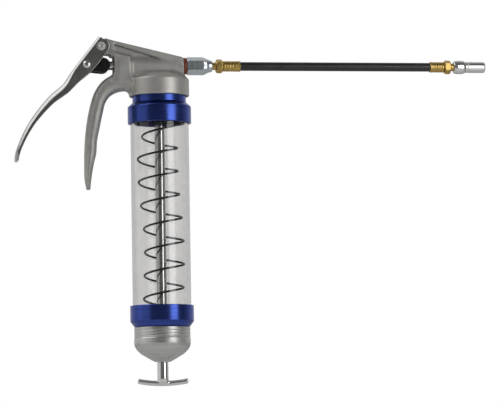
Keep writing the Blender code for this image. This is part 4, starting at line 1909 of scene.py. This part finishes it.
    def build_nut(self) -> Piece:
        """Makes the pivot's nut, chamfered on its outer side.

        Returns:
            The nut.
        """
        face = -(self.half + self.washer)
        end = face - 3.2
        corners = [(3.3, face), (4.9, face), (5.0, face - 0.3), (5.0, face - 2.4), (4.2, end), (3.3, end)]
        flats = Hexagon(4.9, end, face)
        return turned("pivot_nut", cross_line(LEVER_PIVOT), corners, 0.2, closed=True, flats=flats)

    def build_rivet(self) -> Piece:
        """Makes the link rivet with a domed head on each side.

        Returns:
            The rivet.
        """
        face = self.half + self.washer
        dome = [(0.0, face + 2.4), (1.6, face + 2.3), (3.0, face + 1.8), (4.0, face + 0.9)]
        dome += [(4.4, face), (2.5, face)]
        corners = dome + [(r, -z) for r, z in dome[::-1]]
        return turned("domed_rivet", cross_line(LINK_RIVET), corners, 0.6)

    def build(self) -> None:
        """Builds the lever and its fasteners."""
        pivot, rivet = cross_line(LEVER_PIVOT), cross_line(LINK_RIVET)
        settle(self.build_channel(), LEVER_STEEL, "lever", "lever_handle")
        settle(self.build_screw(), SCREW_ZINC, "barrel", "lever_pivot_screw", spindle=pivot)
        settle(self.build_nut(), SCREW_ZINC, "barrel", "lever_pivot_nut", spindle=pivot)
        settle(self.build_rivet(), BRIGHT_CHROME, "lever", "link_rivet", spindle=rivet)


@dataclass
class Pump:
    """The links and the plunger that they push.

    Attributes:
        nose: the links' end on the plunger, in X and Z.
        nose_r: the nose's radius.
        tail_r: the tail's radius.
        apart: how far each link's middle lies from the middle plane.
        plunger: the plunger's radius.
        spring_r: the return spring's mean radius.
        spring_back: its end on the plunger's flange.
        spring_front: its end on the packing.
        stroke: how far the plunger is pushed; not used.
    """

    nose: Span = (-61.0, 159.9)
    nose_r: float = 8.0
    tail_r: float = 6.0
    apart: float = 6.6
    plunger: float = 4.75
    spring_r: float = 6.3
    spring_back: float = -33.1
    spring_front: float = -14.1
    stroke: float = 8.8

    def build_link(self, name: str, side: int) -> Piece:
        """Makes a link: a plate round two circles.

        Args:
            name: the piece's name.
            side: -1 for the one in front and 1 for the one behind.

        Returns:
            The link.
        """
        nose = arc(self.nose, self.nose_r, -96.6, 96.6, 32)
        tail = arc(LINK_RIVET, self.tail_r, 96.6, 263.4, 28)
        return plate(name, np.vstack([nose, tail]), 1.5, side * self.apart, 0.5)

    def build_pin(self) -> Piece:
        """Makes the plunger pin with a flat head on each side.

        Returns:
            The pin.
        """
        head = [(0.0, 9.4), (2.6, 9.4), (3.0, 9.0), (3.0, 8.4), (2.0, 8.4)]
        corners = head + [(r, -z) for r, z in head[::-1]]
        return turned("plunger_eye_pin", cross_line(self.nose), corners, 0.2, sides=48)

    def build_plunger(self) -> Piece:
        """Makes the plunger with its spring flange.

        Returns:
            The plunger.
        """
        r = self.plunger
        corners = [(0.0, -4.0), (r - 0.6, -4.0), (r, -4.8), (r, -33.5), (7.0, -33.5), (7.0, -35.5)]
        corners += [(r, -35.5), (r, -65.0), (r - 1.0, -66.0), (0.0, -66.0)]
        return turned("pump_plunger", PUMP_LINE, corners, 0.25, sides=64)

    def build_spring(self) -> Piece:
        """Makes the return spring.

        Returns:
            The spring.
        """
        wire = 0.5
        coil = Coil(PUMP_LINE, self.spring_back + wire, self.spring_front - wire, wire, 3.6, 1.5)
        turn, x = coil.wound(220)
        return coil.build("return_coil", 2 * math.pi * turn, x, 0 * x + self.spring_r, 0 * x, 8)

    def build(self) -> None:
        """Builds the links, the pin, the plunger and its spring, and dresses the pieces inside."""
        for name, side in (("left", -1), ("right", 1)):
            link = self.build_link(f"black_link_{name}", side)
            settle(link, BLACK_STEEL, "link", f"toggle_link_{name}")
        settle(self.build_pin(), BLACK_STEEL, "plunger", "plunger_pin")
        settle(self.build_plunger(), BRIGHT_CHROME, "plunger", "plunger", spindle=PUMP_LINE)
        redress(BRASS, PUMP_LINE, "plunger_guide")
        redress(BLACK_RUBBER, PUMP_LINE, "plunger_packing")
        spring = self.build_spring()
        settle(spring, BRIGHT_CHROME, "barrel", "plunger_return_spring", spindle=PUMP_LINE)
        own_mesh(spring)


# ---------------------------------------------------------------- end cap and follower


@dataclass
class EndCap:
    """The turned cap under the barrel, with its rod bush.

    Attributes:
        radius: the radius of its grooved band.
        top: the band's upper edge.
        nose: its lowest point.
        grooves: the heights of its fine grooves.
    """

    radius: float = 29.9
    top: float = -120.75
    nose: float = -157.6
    grooves: tuple[float, ...] = (-124.6, -127.6, -130.4)

    def build_cap(self) -> Piece:
        """Makes the cap: a grooved band, a proud bead and a dome that runs in to the rod.

        Returns:
            The cap.
        """
        outer = [(self.radius - 0.4, self.top), (self.radius, self.top - 0.4)]
        for z in self.grooves:
            outer += [(self.radius, z + 0.45), (self.radius - 0.45, z), (self.radius, z - 0.45)]
        outer += [(self.radius, -131.3), (self.radius - 0.5, -131.8), (30.2, -132.8), (30.2, -138.5)]
        outer += [(29.5, -141.2), (27.3, -144.8), (23.0, -149.1), (15.0, -153.9), (9.5, -157.0)]
        outer += [(8.2, self.nose)]
        inner = [(5.8, self.nose), (5.8, -153.0), (8.3, -153.0), (8.3, -149.2), (15.0, -149.6)]
        inner += [(22.0, -146.2), (25.2, -141.5), (26.2, -136.5), (26.4, -133.2), (28.2, -133.2)]
        inner += [(28.2, self.top)]
        return turned("turned_end_cap", BARREL_LINE, outer + inner, 1.4, closed=True, sides=160)

    def cut_slot(self, cap: Piece) -> None:
        """Cuts the rod's lock slot beside the bore.

        The cutter is a box whose point (u, v) on the slot's outline is drawn up through the nose.

        Args:
            cap: the cap.
        """
        outline = [(3.0, -1.7), (9.0, -1.7), (9.8, -0.9), (9.8, 0.9), (9.0, 1.7), (3.0, 1.7)]
        section = softened(outline, 0.5, True)
        z = np.array([-160.0, -153.4])
        centres = np.stack([0 * z, 0 * z, z], axis=1)
        across, up = np.tile([1.0, 0, 0], (2, 1)), np.tile([0, 1.0, 0], (2, 1))
        middle = section.mean(0)
        cutter = carried("slot_cutter", section - middle, centres + [*middle, 0], across, up)
        cut = cap.modifiers.new("lock_slot", "BOOLEAN")
        cut.operation, cut.solver, cut.object = "DIFFERENCE", "EXACT", cutter
        bpy.context.view_layer.update()
        mesh = bpy.data.meshes.new_from_object(cap.evaluated_get(bpy.context.evaluated_depsgraph_get()))
        cap.modifiers.clear()
        cap.data = mesh
        bpy.data.objects.remove(cutter, do_unlink=True)
        closed_up(cap)

    def build_bush(self) -> Piece:
        """Makes the brass bush that guides the rod.

        Returns:
            The bush.
        """
        corners = [(5.7, -152.7), (8.0, -152.7), (8.0, -144.3), (7.7, -144.0), (5.7, -144.0)]
        return turned("brass_rod_bush", BARREL_LINE, corners, 0.25, closed=True)

    def build(self) -> None:
        """Builds the cap and its bush."""
        cap = self.build_cap()
        self.cut_slot(cap)
        settle(cap, SATIN_ALUMINIUM, "cap", "end_cap")
        settle(self.build_bush(), BRASS, "cap", "rod_bush")


@dataclass
class Follower:
    """The follower, its spring and the rod with the T-handle.

    Attributes:
        spring_r: the spring's mean radius.
        top_r: its mean radius at its tapered top.
        wire: its wire's radius.
        pitch: the pitch of its open turns.
        spring_low: where it starts.
        spring_top: where it ends.
        closed_pitch: the pitch of the closed turn at each end.
        left_at: a height at which the spring is furthest to the left.
        rod: the rod's radius.
        bar_half: half the crossbar's length.
        bar_r: the crossbar's radius.
        bar_rise: how far its ends rise.
        bar_z: its middle's height.
        travel: how far the follower is drawn down; not used.
    """

    spring_r: float = 21.1
    top_r: float = 17.2
    wire: float = 1.12
    pitch: float = 24.9
    spring_low: float = -144.3
    spring_top: float = 128.4
    closed_pitch: float = 2.6
    left_at: float = 9.4
    rod: float = 5.4
    bar_half: float = 27.0
    bar_r: float = 2.85
    bar_rise: float = 2.6
    bar_z: float = -180.5
    travel: float = 190.0

    def build_spring(self) -> Piece:
        """Makes the follower spring, which leans to one side and then the other, and tapers at its top.

        Returns:
            The spring.
        """
        coil = Coil(BARREL_LINE, self.spring_low, self.spring_top, self.wire, self.pitch, self.closed_pitch)
        turn, z = coil.wound(900)
        first = (self.left_at - self.spring_low - self.closed_pitch) / self.pitch + 1
        lean_at = [self.spring_low, -100, -62, -38, -15, 9, 34, 60, 95, self.spring_top]
        lean = np.interp(z, lean_at, [0, 1.5, 3.1, 3.7, 2.8, 0, -2.0, -2.7, 0, 0])
        radius = np.interp(z, [68, 88], [self.spring_r, self.top_r])
        return coil.build("follower_coil", math.pi + 2 * math.pi * (turn - first), z, radius, lean, 12)

    def build_cup(self) -> Piece:
        """Makes the rubber cup with its two wiping lips.

        Returns:
            The cup.
        """
        corners = [(26.9, 141.5), (26.9, 139.6), (26.3, 138.4), (26.3, 127.6), (26.9, 126.4), (26.9, 124.0)]
        corners += [(25.2, 124.0), (24.4, 130.0), (4.2, 130.0), (4.2, 133.2), (23.6, 133.2), (25.4, 141.5)]
        return turned("follower_wiper", BARREL_LINE, corners, 0.6, closed=True)

    def build_washer(self) -> Piece:
        """Makes the washer over the cup.

        Returns:
            The washer.
        """
        corners = [(4.2, 133.5), (14.0, 133.5), (14.0, 135.3), (4.2, 135.3)]
        return turned("follower_plate", BARREL_LINE, corners, 0.25, closed=True)

    def build_nut(self) -> Piece:
        """Makes the nut that holds the follower.

        Returns:
            The nut.
        """
        corners = [(4.2, 135.6), (6.8, 135.6), (7.6, 136.2), (7.6, 139.6), (6.8, 140.2), (4.2, 140.2)]
        flats = Hexagon(7.5, 135.6, 140.2)
        return turned("follower_rod_nut", BARREL_LINE, corners, 0.2, closed=True, flats=flats)

    def build_rod(self) -> Piece:
        """Makes the rod with its two studs.

        Returns:
            The rod.
        """
        corners = [(0.0, 140.4), (3.4, 140.4), (3.9, 139.8), (3.9, 129.7), (self.rod, 129.7)]
        corners += [(self.rod, -159.0), (3.5, -159.0), (3.5, -172.2), (0.0, -172.2)]
        return turned("polished_rod", BARREL_LINE, corners, 0.3)

    def handle_distance(self, x: Array, y: Array, z: Array) -> Array:
        """Gives the distance to the T-handle: a bowed round bar joined to a stem with a fillet.

        Args:
            x: the points' X.
            y: the points' Y.
            z: the points' Z.

        Returns:
            The distances.
        """
        bow = (self.bar_half**2 + self.bar_rise**2) / (2 * self.bar_rise)
        line = self.bar_z + bow - np.sqrt(bow**2 - x**2)
        bar = kept(np.hypot(z - line, y) - self.bar_r, np.abs(x) - self.bar_half, 1.6)
        radius = np.hypot(x, y)
        stem = kept(radius - np.clip(5.0 + (z - self.bar_z) * 0.22, 5.0, 6.0), z + 158.2, 0.8)
        stem = kept(stem, self.bar_z - z, 1.6)
        return joined(bar, stem, 2.2)

    def build_handle(self) -> Piece:
        """Makes the T-handle."""
        low, high = (-28.5, -7.2, -184.6), (28.5, 7.2, -156.8)
        return filleted_solid("t_pull_handle", self.handle_distance, low, high, 0.4)

    def build(self) -> None:
        """Builds the follower's pieces."""
        settle(self.build_cup(), BLACK_RUBBER, "follower", "follower_cup")
        settle(self.build_washer(), SATIN_ALUMINIUM, "follower", "follower_washer")
        settle(self.build_nut(), BRIGHT_CHROME, "rod", "follower_nut")
        settle(self.build_rod(), BRIGHT_CHROME, "rod", "follower_rod")
        settle(self.build_handle(), BRIGHT_CHROME, "rod", "t_handle")
        spring = settle(self.build_spring(), BLACK_STEEL, "barrel", "follower_spring")
        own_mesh(spring)


# ---------------------------------------------------------------- the whole object


def main() -> None:
    """Builds the studio and the object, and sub-assembly by sub-assembly."""
    logging.basicConfig(level=logging.INFO, format="%(name)s: %(message)s")
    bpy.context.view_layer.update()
    studio = Studio()
    studio.build_camera()
    HoseLine().build()
    Coupler().build()
    studio.build_light()
    studio.build_floor()
    for assembly in (Outlet(), Barrel(), Head(), Lever(), Pump(), EndCap(), Follower()):
        assembly.build()


if __name__ == "__main__":
    main()
